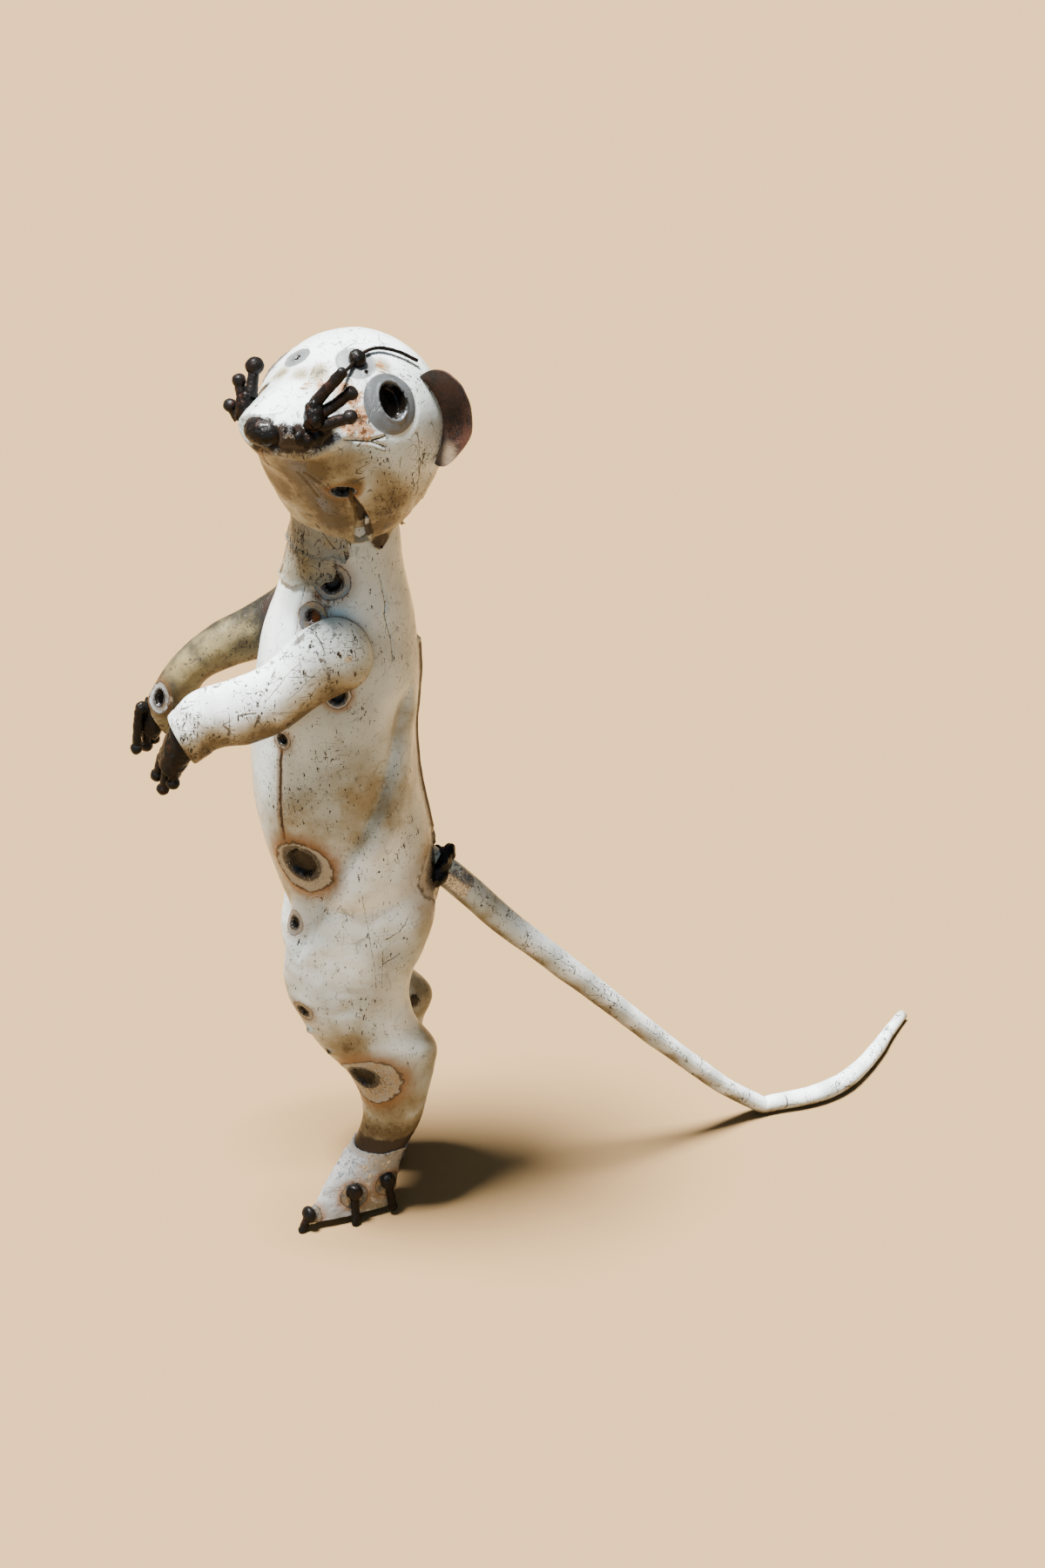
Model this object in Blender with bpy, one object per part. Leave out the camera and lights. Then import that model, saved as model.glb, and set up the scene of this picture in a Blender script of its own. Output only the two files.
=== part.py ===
"""Scrap metal meerkat: a standing figure beaten and welded from old drum sheet, rod ends and wire."""
import bpy
import bmesh
import numpy as np
from mathutils import Matrix, Vector

# driving dimensions, in metres and degrees
HEIGHT = 0.500            # ground to the crown of the head
SHEET = 0.0012            # drum steel, where a sheet edge shows
ROD = 0.0050              # rod cut up for whiskers, fingers and claws
WIRE = 0.0018             # wire bent over the brow
SMALL_BALL = 0.0068       # ball melted on the end of a thin whisker or a finger
LARGE_BALL = 0.0088       # ball melted on the end of the longest whisker
CLAW_BALL = 0.0100        # weld ball that holds a claw on the foot
BEAD = 0.0092             # weld bead on the brow
EYE = 0.0150              # hole burnt through the sheet for an eye
EYE_DEPTH = 0.0070        # how far the eye hole goes in
GAP = 0.0003              # air between two pieces that touch
BALL_SUNK = 0.3           # how much of its radius a claw's ball or the bead sinks into the sheet
HEAD_TURN = 49.0          # the head looks over the left shoulder
LEFT_FOOT_TURN = 27.0     # each foot points outwards
RIGHT_FOOT_TURN = -80.0
TRUNK_FULLNESS = 1.06     # 1 is an oval trunk, more is squarer

# the free forms are drawn on squares, 500 of them to the figure's height, with the
# figure facing -Y, its left side towards +X and the ground at 0
SQUARE = HEIGHT / 500

# sections of the trunk, from the crotch to the neck: front y, z, back y, z, half-width
TRUNK = [
    (-24, 174, 26, 170, 20),
    (-37, 186, 38, 181, 35),
    (-44, 207, 39, 203, 41),
    (-50.5, 235, 35.5, 230, 43),
    (-53.5, 262, 31, 257, 44),
    (-52, 290, 30, 286, 43),
    (-48.5, 321, 32.5, 317, 42),
    (-43.5, 344, 31.5, 340, 40),
    (-36.5, 363, 29, 359, 35.5),
    (-30, 381, 25.5, 378, 29.5),
    (-26, 399, 24, 396, 26),
    (-24, 409, 22, 408, 24),
]
# sections of a leg, from the hip to the ankle: the same five, with the middle's x before the last
HIP = [
    (-34, 214, 33, 210, 19, 19),
    (-38, 193, 36.5, 189, 20.5, 21.5),
    (-40.5, 173, 31, 170, 22, 21.5),
    (-42.5, 153, 23, 149, 22.5, 20.5),
    (-41, 142, 22, 138, 23, 19.5),
    (-35, 128, 25, 124, 23.5, 18),
]
LEFT_SHIN = [
    (-24, 108.5, 36, 104.5, 23.5, 16.5),
    (-13.5, 94, 34.5, 91, 22.5, 15),
    (-6, 76.5, 31, 73.5, 21.5, 13.5),
    (-4.5, 59, 26.5, 56, 20.8, 12),
    (-7.5, 48, 22, 45, 20.3, 11.5),
    (-12, 38.5, 17, 36, 20, 11.5),
]
RIGHT_SHIN = [
    (-20, 112, 37, 107, -23, 16.5),
    (-8, 98, 32.5, 93, -22.5, 15),
    (0, 78, 30, 75, -20.5, 13.5),
    (1.5, 60, 28, 58, -18.5, 12),
    (0.5, 48, 26.5, 46, -16.5, 11.5),
    (-3, 38.5, 23.5, 36.5, -15, 11.5),
]
# sections of an arm, from shoulder to wrist: upper edge y, z, lower edge y, z, x, half-thickness
LEFT_ARM = [
    (-17, 366, -2, 330, 41, 10.5),
    (-29, 360, -18, 323.5, 43, 11),
    (-45, 345, -37, 310.5, 44, 11.5),
    (-62, 337.5, -52, 304.5, 43, 11.5),
    (-82, 328, -69, 299.5, 39, 10.5),
    (-91.5, 316, -79.5, 291, 36, 9.5),
]
RIGHT_ARM = [
    (-19, 366, -8, 330, -40, 10.5),
    (-36, 345.5, -38, 309, -42, 11),
    (-54, 333.5, -61, 302, -42, 11),
    (-71.5, 324.5, -74, 296, -41, 10.5),
    (-88.5, 311.5, -81, 286, -39, 9.5),
    (-99, 298, -86.5, 279, -38, 8.5),
    (-105, 286.5, -95, 268, -36.5, 7.5),
]
SHOULDER = 17             # how far the round end of an arm runs back over the trunk
LEFT_PALM = [
    (-90, 313, -80, 295, 36, 8),
    (-95, 302, -84, 289, 35, 8.5),
    (-98.5, 291, -89, 281, 34, 8),
]
RIGHT_PALM = [
    (-105, 289, -97, 272, -36.5, 6.5),
    (-108.5, 281, -99, 268, -36, 6.5),
    (-110, 275, -101.5, 265, -36, 6),
]
# roots and tips of the fingers: x, y, z
LEFT_FINGERS = [
    ((30, -96, 292), (28, -100.5, 277)),
    ((34.5, -94, 288), (33.5, -97.5, 272)),
    ((39.5, -91, 288), (39.5, -92, 278)),
]
RIGHT_FINGERS = [
    ((-31.5, -109, 284), (-30, -112, 260)),
    ((-36.5, -106, 274), (-36, -107, 258)),
    ((-41.5, -103, 274), (-41.5, -103, 259)),
]
# sections of the head from back to front, in the head's own directions from its middle:
# forward, crown, widest height, underside, half-width
HEAD_AT = (2, 2.5, 450)
HEAD = [
    (-41.5, 8, 1, -8, 9),
    (-39.5, 18, 1, -20, 20),
    (-33.5, 29, 1, -34, 31),
    (-23, 39, 1, -46, 38.5),
    (-8, 44.5, 1, -56.5, 42),
    (8, 44.7, 1, -58.5, 42),
    (22, 42, 2, -53, 38.5),
    (34, 37, 5, -36, 31.5),
    (45, 33, 10, -16, 24.5),
    (54, 30.5, 14, -4, 19.5),
    (61, 28.7, 17, 3.5, 16.2),
    (65.5, 27, 19, 8, 13.5),
]
# three pointed flaps of the skull's sheet over the neck: turn from the front, height of the tip
FLAPS = [(121, 396), (-122, 400), (176, 399)]
FLAP_SPREAD = 28          # half the turn that a flap covers
FLAP_SLOPE = 0.7          # how fast a flap's edges rise away from its tip
FLAP_TOP = 416            # where the flaps run up inside the throat
COLLAR_TURNS = (-58, 90)  # the neck plate's two ends, from the front
COLLAR = (372, 16, 404)   # its low edge in front, how far that rises to the left, and its top
EYES = [(71, 33), (-66, 34)]
SKULL = 42.5                          # radius of the skull's ball
WIRE_OFF = 4.2                        # how far the wire stands off that ball
NOSE_AT = (63.5, 1, 18.5)
NOSE = (8.5, 10.5, 7.2)
WHISKER_WELD = (6.2, 5.0, 7.0)
# whiskers in the head's own directions: their weld, then each one's root, end and ball
WHISKERS = {
    "left": ((51, 20.5, 26), [
        ((50, 19, 31), (44, 33, 49), ROD),
        ((49, 22, 26.5), (40, 36, 39), SMALL_BALL),
        ((50, 22, 21), (43, 38, 28), SMALL_BALL),
    ]),
    "right": ((52, -19, 21), [
        ((51.5, -17, 26.5), (43, -20, 43), LARGE_BALL),
        ((52, -21.5, 21.5), (49, -26, 35.5), SMALL_BALL),
        ((52.5, -23.5, 14.8), (54, -29.5, 23.5), SMALL_BALL),
    ]),
}
BEAD_AT = (48, 61)                    # turn and rise, as an eye's
WIRE_ROOT = (48.5, 22.5, 35.5)
WIRE_OVER = [(62, 66), (84, 66), (104, 58), (116, 46)]
# ears: across, tall and cupped, how far the open side is turned outwards, middle
LEFT_EAR = (17, 24, 7, 8, (-12, 43, 8.5))
RIGHT_EAR = (16, 22, 7, 24, (-16.5, -39, 3))
# the tail's middle line: x, y, z, half-thickness; where z is 0 the tail lies on the ground
TAIL = [
    (0, 31, 209, 8.0),
    (0, 47, 194.5, 7.8),
    (-1, 76, 162.5, 7.5),
    (-4, 101.5, 136.5, 7.0),
    (-9, 127.5, 108.5, 6.4),
    (-16, 155, 77.5, 5.9),
    (-24, 183.5, 46, 5.4),
    (-30.5, 203, 25, 5.1),
    (-36, 219, 11, 4.9),
    (-40, 235, 0, 4.9),
    (-43.5, 254, 0, 5.2),
    (-53, 274, 0, 5.3),
    (-68, 289.5, 0, 4.9),
    (-86, 303, 0, 4.3),
    (-104.5, 315, 0, 3.6),
    (-121, 326.5, 0, 3.0),
]
TAIL_WELD = (6.5, 11, 10.5)
TAIL_WELD_AT = 11         # how far along the tail its weld sits
# a foot's sole: toe and heel from the ankle's middle, half-width, height off the ground
LEFT_SOLE = (45, 7.5, 10.5, 5)
RIGHT_SOLE = (34, 7.5, 8.5, 5)
# claws: turn from the toe round the foot and share of the way down to the sole where
# the ball sits, the turn where the rod ends and how far it ends off the ground
LEFT_CLAWS = [(5, 0.86, 0, 0), (60, 0.55, 65, 0), (98, 0.45, 98, 3), (-65, 0.60, -65, 0)]
RIGHT_CLAWS = [(0, 0.74, 0, 0), (-60, 0.60, -65, 0), (105, 0.50, 112, 0), (58, 0.62, 55, 0)]

PAINT = ("old_white_paint", (0.74, 0.73, 0.68, 1), 0.38, 0.0)
STAINED = ("stained_paint", (0.50, 0.41, 0.28, 1), 0.50, 0.0)
BARE = ("bare_steel", (0.42, 0.42, 0.41, 1), 0.38, 0.9)
WELD = ("black_weld", (0.035, 0.028, 0.024, 1), 0.30, 0.4)
RUST = ("rusted_inside", (0.10, 0.045, 0.030, 1), 0.70, 0.1)


def material(recipe):
    """The material of that recipe, made once."""
    name, colour, roughness, metallic = recipe
    made = bpy.data.materials.get(name)
    if made is None:
        made = bpy.data.materials.new(name)
        made.use_nodes = True
        shader = made.node_tree.nodes["Principled BSDF"]
        shader.inputs["Base Color"].default_value = colour
        shader.inputs["Roughness"].default_value = roughness
        shader.inputs["Metallic"].default_value = metallic
    return made


def through(rows, count):
    """A smooth curve through the rows, read at equal steps of its drawn length."""
    rows = np.array(rows, float)
    steps = np.linalg.norm(np.diff(rows[:, :3], axis=0), axis=1)
    at = np.concatenate([[0], np.cumsum(steps)])
    slope = np.gradient(rows, at, axis=0)
    read = np.linspace(0, at[-1], count)
    cell = np.clip(np.searchsorted(at, read, side="right") - 1, 0, len(at) - 2)
    width = (at[cell + 1] - at[cell])[:, None]
    t = (read - at[cell])[:, None] / width
    curve = rows[cell] * (2 * t**3 - 3 * t**2 + 1) + rows[cell + 1] * (3 * t**2 - 2 * t**3)
    curve += slope[cell] * width * (t**3 - 2 * t**2 + t) + slope[cell + 1] * width * (t**3 - t**2)
    return curve


def mesh_object(name, bm, recipe):
    """An object of that name from a closed bmesh, in triangles, smooth between its sharp edges."""
    bmesh.ops.triangulate(bm, faces=bm.faces)
    bmesh.ops.recalc_face_normals(bm, faces=bm.faces)
    mesh = bpy.data.meshes.new(name)
    bm.to_mesh(mesh)
    bm.free()
    mesh.shade_smooth()
    mesh.set_sharp_from_angle(angle=np.radians(40))
    mesh.materials.append(material(recipe))
    piece = bpy.data.objects.new(name, mesh)
    bpy.context.scene.collection.objects.link(piece)
    return piece


def loft(name, rings, recipe):
    """A closed skin over a row of closed rings of points in metres, capped at both ends."""
    bm = bmesh.new()
    loops = [[bm.verts.new(point) for point in ring] for ring in rings]
    for low, high in zip(loops, loops[1:]):
        for i in range(len(low)):
            j = (i + 1) % len(low)
            bm.faces.new((low[i], low[j], high[j], high[i]))
    bm.faces.new(loops[0])
    bm.faces.new(loops[-1][::-1])
    return mesh_object(name, bm, recipe)


def filled_out(wave, fullness):
    """A sine or cosine made fuller, for an oval that is squarer where fullness is over 1."""
    return np.sign(wave) * np.abs(wave) ** (1 / fullness)


def section(row, sides, middle_x=0, fullness=1.0):
    """A ring in metres through a row's front and back points, as wide as its last value says."""
    front, back, half_width = np.array(row[:2]), np.array(row[2:4]), row[-1]
    turn = np.arange(sides) * 2 * np.pi / sides
    along = filled_out(np.cos(turn), fullness)
    across = filled_out(np.sin(turn), fullness)
    ring = np.empty((sides, 3))
    ring[:, 0] = middle_x + half_width * across
    ring[:, 1:] = (front + back) / 2 + (front - back) / 2 * along[:, None]
    return ring * SQUARE


def limb(table, count, sides):
    """The rings of a limb whose rows give the middle's x before the half-width."""
    return [section(row, sides, row[4]) for row in through(table, count)]


def domed(rings, height, steps):
    """The same rings with a domed cap, as high as given in squares, before the first one."""
    middle, inner = rings[0].mean(axis=0), rings[1].mean(axis=0)
    out = (middle - inner) / np.linalg.norm(middle - inner) * height * SQUARE
    turns = np.linspace(0, np.pi / 2, steps + 1)[1:] * 0.93
    dome = [middle + (rings[0] - middle) * np.cos(turn) + out * np.sin(turn) for turn in turns]
    return dome[::-1] + list(rings)


def circle(middle, axis, radius, sides):
    """A ring of the given radius round an axis, in metres."""
    axis = Vector(axis).normalized()
    side = axis.orthogonal().normalized()
    turn = np.arange(sides) * 2 * np.pi / sides
    ring = np.outer(np.cos(turn), side) + np.outer(np.sin(turn), axis.cross(side))
    return np.array(middle) + ring * radius


def tube(name, points, radii, sides, recipe):
    """A round bar along the points, in metres, with one radius at each."""
    points = np.array(points, float)
    axes = np.gradient(points, axis=0)
    side = Vector(axes[0]).orthogonal().normalized()
    turn = np.arange(sides) * 2 * np.pi / sides
    rings = []
    for point, axis, radius in zip(points, axes, radii):
        along = Vector(axis).normalized()
        side = (side - along * side.dot(along)).normalized()
        ring = np.outer(np.cos(turn), side) + np.outer(np.sin(turn), along.cross(side))
        rings.append(point + ring * radius)
    return loft(name, rings, recipe)


def ball_rod(name, start, end, ball):
    """A rod from start to end, in metres, whose far end is melted into a ball."""
    start, end = np.array(start), np.array(end)
    along = (end - start) / np.linalg.norm(end - start)
    radius = max(ball, ROD) / 2
    neck = np.arcsin(min(ROD / 2 / radius, 0.98))
    rings = [circle(start, along, ROD / 2, 8)]
    for turn in np.linspace(np.pi - neck, 0.2, 5):
        middle = end + along * radius * (np.cos(turn) - 1)
        rings.append(circle(middle, along, radius * np.sin(turn), 8))
    return loft(name, rings, WELD)


def lump(name, middle, axes, radii, sides, rings):
    """A rounded lump of weld: an ellipsoid on three directions, in metres."""
    bm = bmesh.new()
    bmesh.ops.create_uvsphere(bm, u_segments=sides, v_segments=rings, radius=1.0)
    frame = Matrix([Vector(axis) * radius for axis, radius in zip(axes, radii)]).transposed()
    bmesh.ops.transform(bm, matrix=Matrix.Translation(middle) @ frame.to_4x4(), verts=bm.verts)
    return mesh_object(name, bm, WELD)


def combine(piece, other, operation):
    """Join another solid to the piece, or cut it away, and use the other one up."""
    step = piece.modifiers.new(operation.lower(), "BOOLEAN")
    step.operation = operation
    step.solver = "EXACT"
    step.object = other
    bpy.context.view_layer.update()
    graph = bpy.context.evaluated_depsgraph_get()
    made = bpy.data.meshes.new_from_object(piece.evaluated_get(graph))
    piece.modifiers.clear()
    piece.data = made
    bpy.data.objects.remove(other)


def seat(piece, *neighbours):
    """Cut the piece back to GAP clear of each neighbour that it stands on."""
    for neighbour in neighbours:
        bm = bmesh.new()
        bm.from_mesh(neighbour.data)
        bm.normal_update()
        moves = [vert.normal * GAP * min(vert.calc_shell_factor(), 1.8) for vert in bm.verts]
        for vert, move in zip(bm.verts, moves):
            vert.co += move
        combine(piece, mesh_object("cutter", bm, WELD), "DIFFERENCE")


def trunk_point(height, turn, off):
    """A point off the trunk's skin at a height in squares and a turn from the front, in metres."""
    rows = through(TRUNK, 60)
    level = np.interp(height, (rows[:, 1] + rows[:, 3]) / 2, np.arange(60))
    front_y, front_z, back_y, back_z, half = [np.interp(level, np.arange(60), column) for column in rows.T]
    deep, slope = (front_y - back_y) / 2, (front_z - back_z) / 2
    along, across = [filled_out(wave, TRUNK_FULLNESS) for wave in (np.cos(turn), np.sin(turn))]
    outward = Vector((across / half, along / deep, 0)).normalized()
    middle = Vector((0, (front_y + back_y) / 2, (front_z + back_z) / 2))
    return (middle + Vector((half * across, deep * along, slope * along))) * SQUARE + outward * off


def plate(name, turns, low, top, rows, recipe):
    """A sheet that follows the trunk from a low edge, given at each turn in degrees, to the top."""
    bm = bmesh.new()
    inner, outer = [[[bm.verts.new(trunk_point(bottom + (top - bottom) * i / (rows - 1), turn, off))
                      for i in range(rows)] for turn, bottom in zip(np.radians(turns), low)]
                    for off in (GAP * 1.6, GAP * 1.6 + SHEET)]
    last = len(turns) - 1
    for skin in (inner, outer):
        for i in range(last):
            for j in range(rows - 1):
                bm.faces.new((skin[i][j], skin[i + 1][j], skin[i + 1][j + 1], skin[i][j + 1]))
    for i in range(last):
        for j in (0, rows - 1):
            bm.faces.new((inner[i][j], inner[i + 1][j], outer[i + 1][j], outer[i][j]))
    for j in range(rows - 1):
        for i in (0, last):
            bm.faces.new((inner[i][j], inner[i][j + 1], outer[i][j + 1], outer[i][j]))
    return mesh_object(name, bm, recipe)


def body():
    """Trunk and both legs: one welded shell."""
    rings = [section(row, 24, fullness=TRUNK_FULLNESS) for row in through(TRUNK, 18)]
    shell = loft("body", domed(rings, 5, 2), PAINT)
    right_hip = [row[:4] + (-row[4], row[5]) for row in HIP]
    for table in (HIP + LEFT_SHIN, right_hip + RIGHT_SHIN):
        combine(shell, loft("leg", limb(table, 16, 15), PAINT), "UNION")
    return shell


def head_axes():
    """The head's forward, left and up directions."""
    turn = np.radians(HEAD_TURN)
    ahead = Vector((np.sin(turn), -np.cos(turn), 0))
    return ahead, Vector((-ahead.y, ahead.x, 0)), Vector((0, 0, 1))


def head_place(forward, left, up):
    """A place in metres from squares measured in the head's own directions."""
    ahead, side, above = head_axes()
    return (Vector(HEAD_AT) + ahead * forward + side * left + above * up) * SQUARE


def skull_place(turn, rise, out):
    """A place on a ball about the head's middle, turned left of forward and raised, in degrees."""
    turn, rise = np.radians(turn), np.radians(rise)
    level = out * np.cos(rise)
    return head_place(level * np.cos(turn), level * np.sin(turn), out * np.sin(rise))


def head(trunk):
    """Skull, snout and throat with pointed flaps over the neck, and the two burnt eyes."""
    rings = []
    for forward, crown, widest, underside, half in through(HEAD, 16):
        rings.append(np.array([
            head_place(forward, half * np.sin(turn),
                       widest + np.cos(turn) * (crown - widest if np.cos(turn) > 0 else widest - underside))
            for turn in np.arange(24) * 2 * np.pi / 24]))
    shell = loft("head", rings, PAINT)
    for middle, tip in FLAPS:
        spread = np.linspace(-FLAP_SPREAD, FLAP_SPREAD, 5)
        flap = plate("flap", middle + spread, tip + np.abs(spread) * FLAP_SLOPE, FLAP_TOP, 3, PAINT)
        combine(shell, flap, "UNION")
    seat(shell, trunk)
    for turned, rise in EYES:
        on = skull_place(turned, rise, SKULL)
        axis = (on - head_place(0, 0, 0)).normalized()
        ends = [on - axis * EYE_DEPTH, on + axis * EYE_DEPTH]
        combine(shell, tube("hole", ends, [EYE / 2, EYE / 2], 16, RUST), "DIFFERENCE")
    return shell


def collar(trunk, skull):
    """The stained plate lapped over the front and left of the neck."""
    turns = np.linspace(*COLLAR_TURNS, 10)
    low, rise, top = COLLAR
    piece = plate("neck_plate", turns, low + rise * np.clip(turns / 90, 0, 1) ** 1.3, top, 4, STAINED)
    seat(piece, trunk, skull)


def ear(name, side, shape, skull):
    """A cupped sheet standing off the side of the skull, open to the front."""
    across, tall, cup, lean, place = shape
    ahead, left, up = head_axes()
    lean = np.radians(lean)
    open_side = ahead * np.cos(lean) + left * side * np.sin(lean)
    out = left * side * np.cos(lean) - ahead * np.sin(lean)
    bm = bmesh.new()
    skins = []
    for back in (0, SHEET):
        hub = bm.verts.new(head_place(*place) - open_side * (cup * SQUARE + back))
        hoops = []
        for share in (0.5, 0.82, 1.0):
            middle = head_place(*place) - open_side * (cup * SQUARE * (1 - share**2) + back)
            hoops.append([bm.verts.new(middle + (out * across * np.cos(turn) + up * tall * np.sin(turn))
                                       * share * SQUARE) for turn in np.arange(20) * 2 * np.pi / 20])
        skins.append((hub, hoops))
    rim, back_rim = [hoops[-1] for hub, hoops in skins]
    for i in range(20):
        j = (i + 1) % 20
        for hub, hoops in skins:
            bm.faces.new((hub, hoops[0][i], hoops[0][j]))
            for near, far in zip(hoops, hoops[1:]):
                bm.faces.new((near[i], far[i], far[j], near[j]))
        bm.faces.new((rim[i], back_rim[i], back_rim[j], rim[j]))
    piece = mesh_object(name, bm, RUST)
    seat(piece, skull)


def face(skull):
    """Nose, whiskers with their welds, brow bead and brow wire."""
    axes = head_axes()
    nose = lump("nose", head_place(*NOSE_AT), axes, np.array(NOSE) * SQUARE, 12, 8)
    seat(nose, skull)
    for side, (middle, whiskers) in WHISKERS.items():
        radii = np.array(WHISKER_WELD) * SQUARE
        weld = lump(f"whisker_weld_{side}", head_place(*middle), axes, radii, 10, 6)
        seat(weld, skull, nose)
        rods = []
        for number, (root, end, ball) in enumerate(whiskers, 1):
            rod = ball_rod(f"whisker_{side}_{number}", head_place(*root), head_place(*end), ball)
            seat(rod, weld, skull, *rods)
            rods.append(rod)
    bead_at = skull_place(*BEAD_AT, SKULL + 1.5 + BEAD / SQUARE * (0.5 - BALL_SUNK / 2))
    bead = lump("brow_bead", bead_at, axes, [BEAD / 2] * 3, 10, 7)
    seat(bead, skull)
    over = [skull_place(*place, SKULL + WIRE_OFF) for place in [BEAD_AT] + WIRE_OVER]
    for name, route in (("brow_wire_front", [head_place(*WIRE_ROOT), over[0]]),
                        ("brow_wire_back", over)):
        points = through(route, 2 + 2 * len(route))
        wire = tube(name, points, np.full(len(points), WIRE / 2), 6, WELD)
        seat(wire, bead, skull, bpy.data.objects["whisker_weld_left"], bpy.data.objects["whisker_left_1"])


def arm(name, table, trunk):
    """A flattened sheet tube from a round shoulder to an open wrist."""
    piece = loft(name, domed(limb(table, 11, 14), SHOULDER, 3), PAINT)
    seat(piece, trunk)
    return piece


def hand(side, palm, fingers, sleeve):
    """A black weld palm on the wrist, with three short rod fingers."""
    piece = loft(f"{side}_hand", limb(palm, 4, 10), WELD)
    seat(piece, sleeve)
    done = []
    for number, (root, tip) in enumerate(fingers, 1):
        start, end = Vector(root) * SQUARE, Vector(tip) * SQUARE
        finger = ball_rod(f"{side}_finger_{number}", start, end, SMALL_BALL)
        seat(finger, piece, sleeve, *done)
        done.append(finger)


def foot_skin(ankle, turn, sole, share):
    """A ring of the foot: share 0 is the ankle, 1 the sole. Also the way out from its middle."""
    toe, heel, half_sole, off_ground = sole
    around = np.arange(72) * 2 * np.pi / 72
    ahead = np.array([np.sin(np.radians(turn)), -np.cos(np.radians(turn)), 0])
    side = np.array([np.cos(np.radians(turn)), np.sin(np.radians(turn)), 0])
    middle = np.array([ankle[4], (ankle[0] + ankle[2]) / 2, off_ground])
    reach = np.where(np.cos(around) > 0, toe, heel) * np.cos(around)
    wide = half_sole * (1 - 0.62 * np.clip(np.cos(around), 0, 1) ** 1.5) * np.sin(around)
    outline = (middle + np.outer(reach, ahead) + np.outer(wide, side)) * SQUARE
    ring = section(ankle, 72, ankle[4])
    ring[:, :2] += (outline - ring)[:, :2] * share**0.8
    ring[:, 2] += (outline - ring)[:, 2] * share
    out = np.outer(np.cos(around), ahead) + np.outer(np.sin(around), side)
    return ring, out


def foot(name, ankle, turn, sole, claws):
    """A pointed sheet foot from just under the ankle to a sole that stays clear of the ground."""
    rings = [foot_skin(ankle, turn, sole, share)[0][::4] for share in (0, 0.15, 0.35, 0.6, 0.85, 1)]
    rings[0] -= (0, 0, GAP * 1.1)
    shell = loft(f"{name}_foot", rings, BARE)
    for number, (ball_turn, share, end_turn, off_ground) in enumerate(claws, 1):
        claw(f"{name}_claw_{number}", foot_skin(ankle, turn, sole, share), round(ball_turn / 5) % 72,
             foot_skin(ankle, turn, sole, 1), round(end_turn / 5) % 72, off_ground, shell)


def claw(name, skin, spot, rim, end_spot, off_ground, shell):
    """A weld ball on the foot and the rod end that runs down from it, cut off level."""
    top = skin[0][spot] + skin[1][spot] * CLAW_BALL / 2 * (0.7 - BALL_SUNK)
    end = rim[0][end_spot] + rim[1][end_spot] * (ROD / 2 + 2 * GAP)
    end[2] = off_ground * SQUARE
    neck = np.pi - np.arcsin(ROD / CLAW_BALL)
    rings = [circle(top + (0, 0, CLAW_BALL / 2 * np.cos(turn)), (0, 0, 1), CLAW_BALL / 2 * np.sin(turn), 8)
             for turn in np.linspace(0.25, neck, 5)]
    rings.append(circle(end, (0, 0, 1), ROD / 2, 8))
    seat(loft(name, rings, WELD), shell)


def tail(trunk):
    """A long rolled tube from the rump down to the ground and along it, with a collar of weld."""
    rows = through(TAIL, 27)
    rows[:, 2] = np.maximum(rows[:, 2], rows[:, 3])
    piece = tube("tail", rows[:, :3] * SQUARE, rows[:, 3] * SQUARE, 10, PAINT)
    seat(piece, trunk)
    ahead = (Vector(TAIL[1][:3]) - Vector(TAIL[0][:3])).normalized()
    side = Vector((1, 0, 0))
    root = (Vector(TAIL[0][:3]) + ahead * TAIL_WELD_AT) * SQUARE
    collar = lump("tail_weld", root, (ahead, side, ahead.cross(side)), np.array(TAIL_WELD) * SQUARE, 14, 8)
    seat(collar, trunk, piece)


def stand_on_middle():
    """Move every piece so that the origin is under the middle of the figure's box, on the ground."""
    pieces = [piece for piece in bpy.data.objects if piece.type == "MESH"]
    corners = np.array([vert.co for piece in pieces for vert in piece.data.vertices])
    low, high = corners.min(axis=0), corners.max(axis=0)
    move = Vector((-(low[0] + high[0]) / 2, -(low[1] + high[1]) / 2, -low[2]))
    for piece in pieces:
        piece.data.transform(Matrix.Translation(move))


for leftover in list(bpy.data.objects):
    bpy.data.objects.remove(leftover)

trunk = body()
skull = head(trunk)
collar(trunk, skull)
ear("left_ear", 1, LEFT_EAR, skull)
ear("right_ear", -1, RIGHT_EAR, skull)
face(skull)
hand("left", LEFT_PALM, LEFT_FINGERS, arm("left_arm", LEFT_ARM, trunk))
hand("right", RIGHT_PALM, RIGHT_FINGERS, arm("right_arm", RIGHT_ARM, trunk))
foot("left", LEFT_SHIN[-1], LEFT_FOOT_TURN, LEFT_SOLE, LEFT_CLAWS)
foot("right", RIGHT_SHIN[-1], RIGHT_FOOT_TURN, RIGHT_SOLE, RIGHT_CLAWS)
tail(trunk)
stand_on_middle()
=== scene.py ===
from itertools import product

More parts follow.
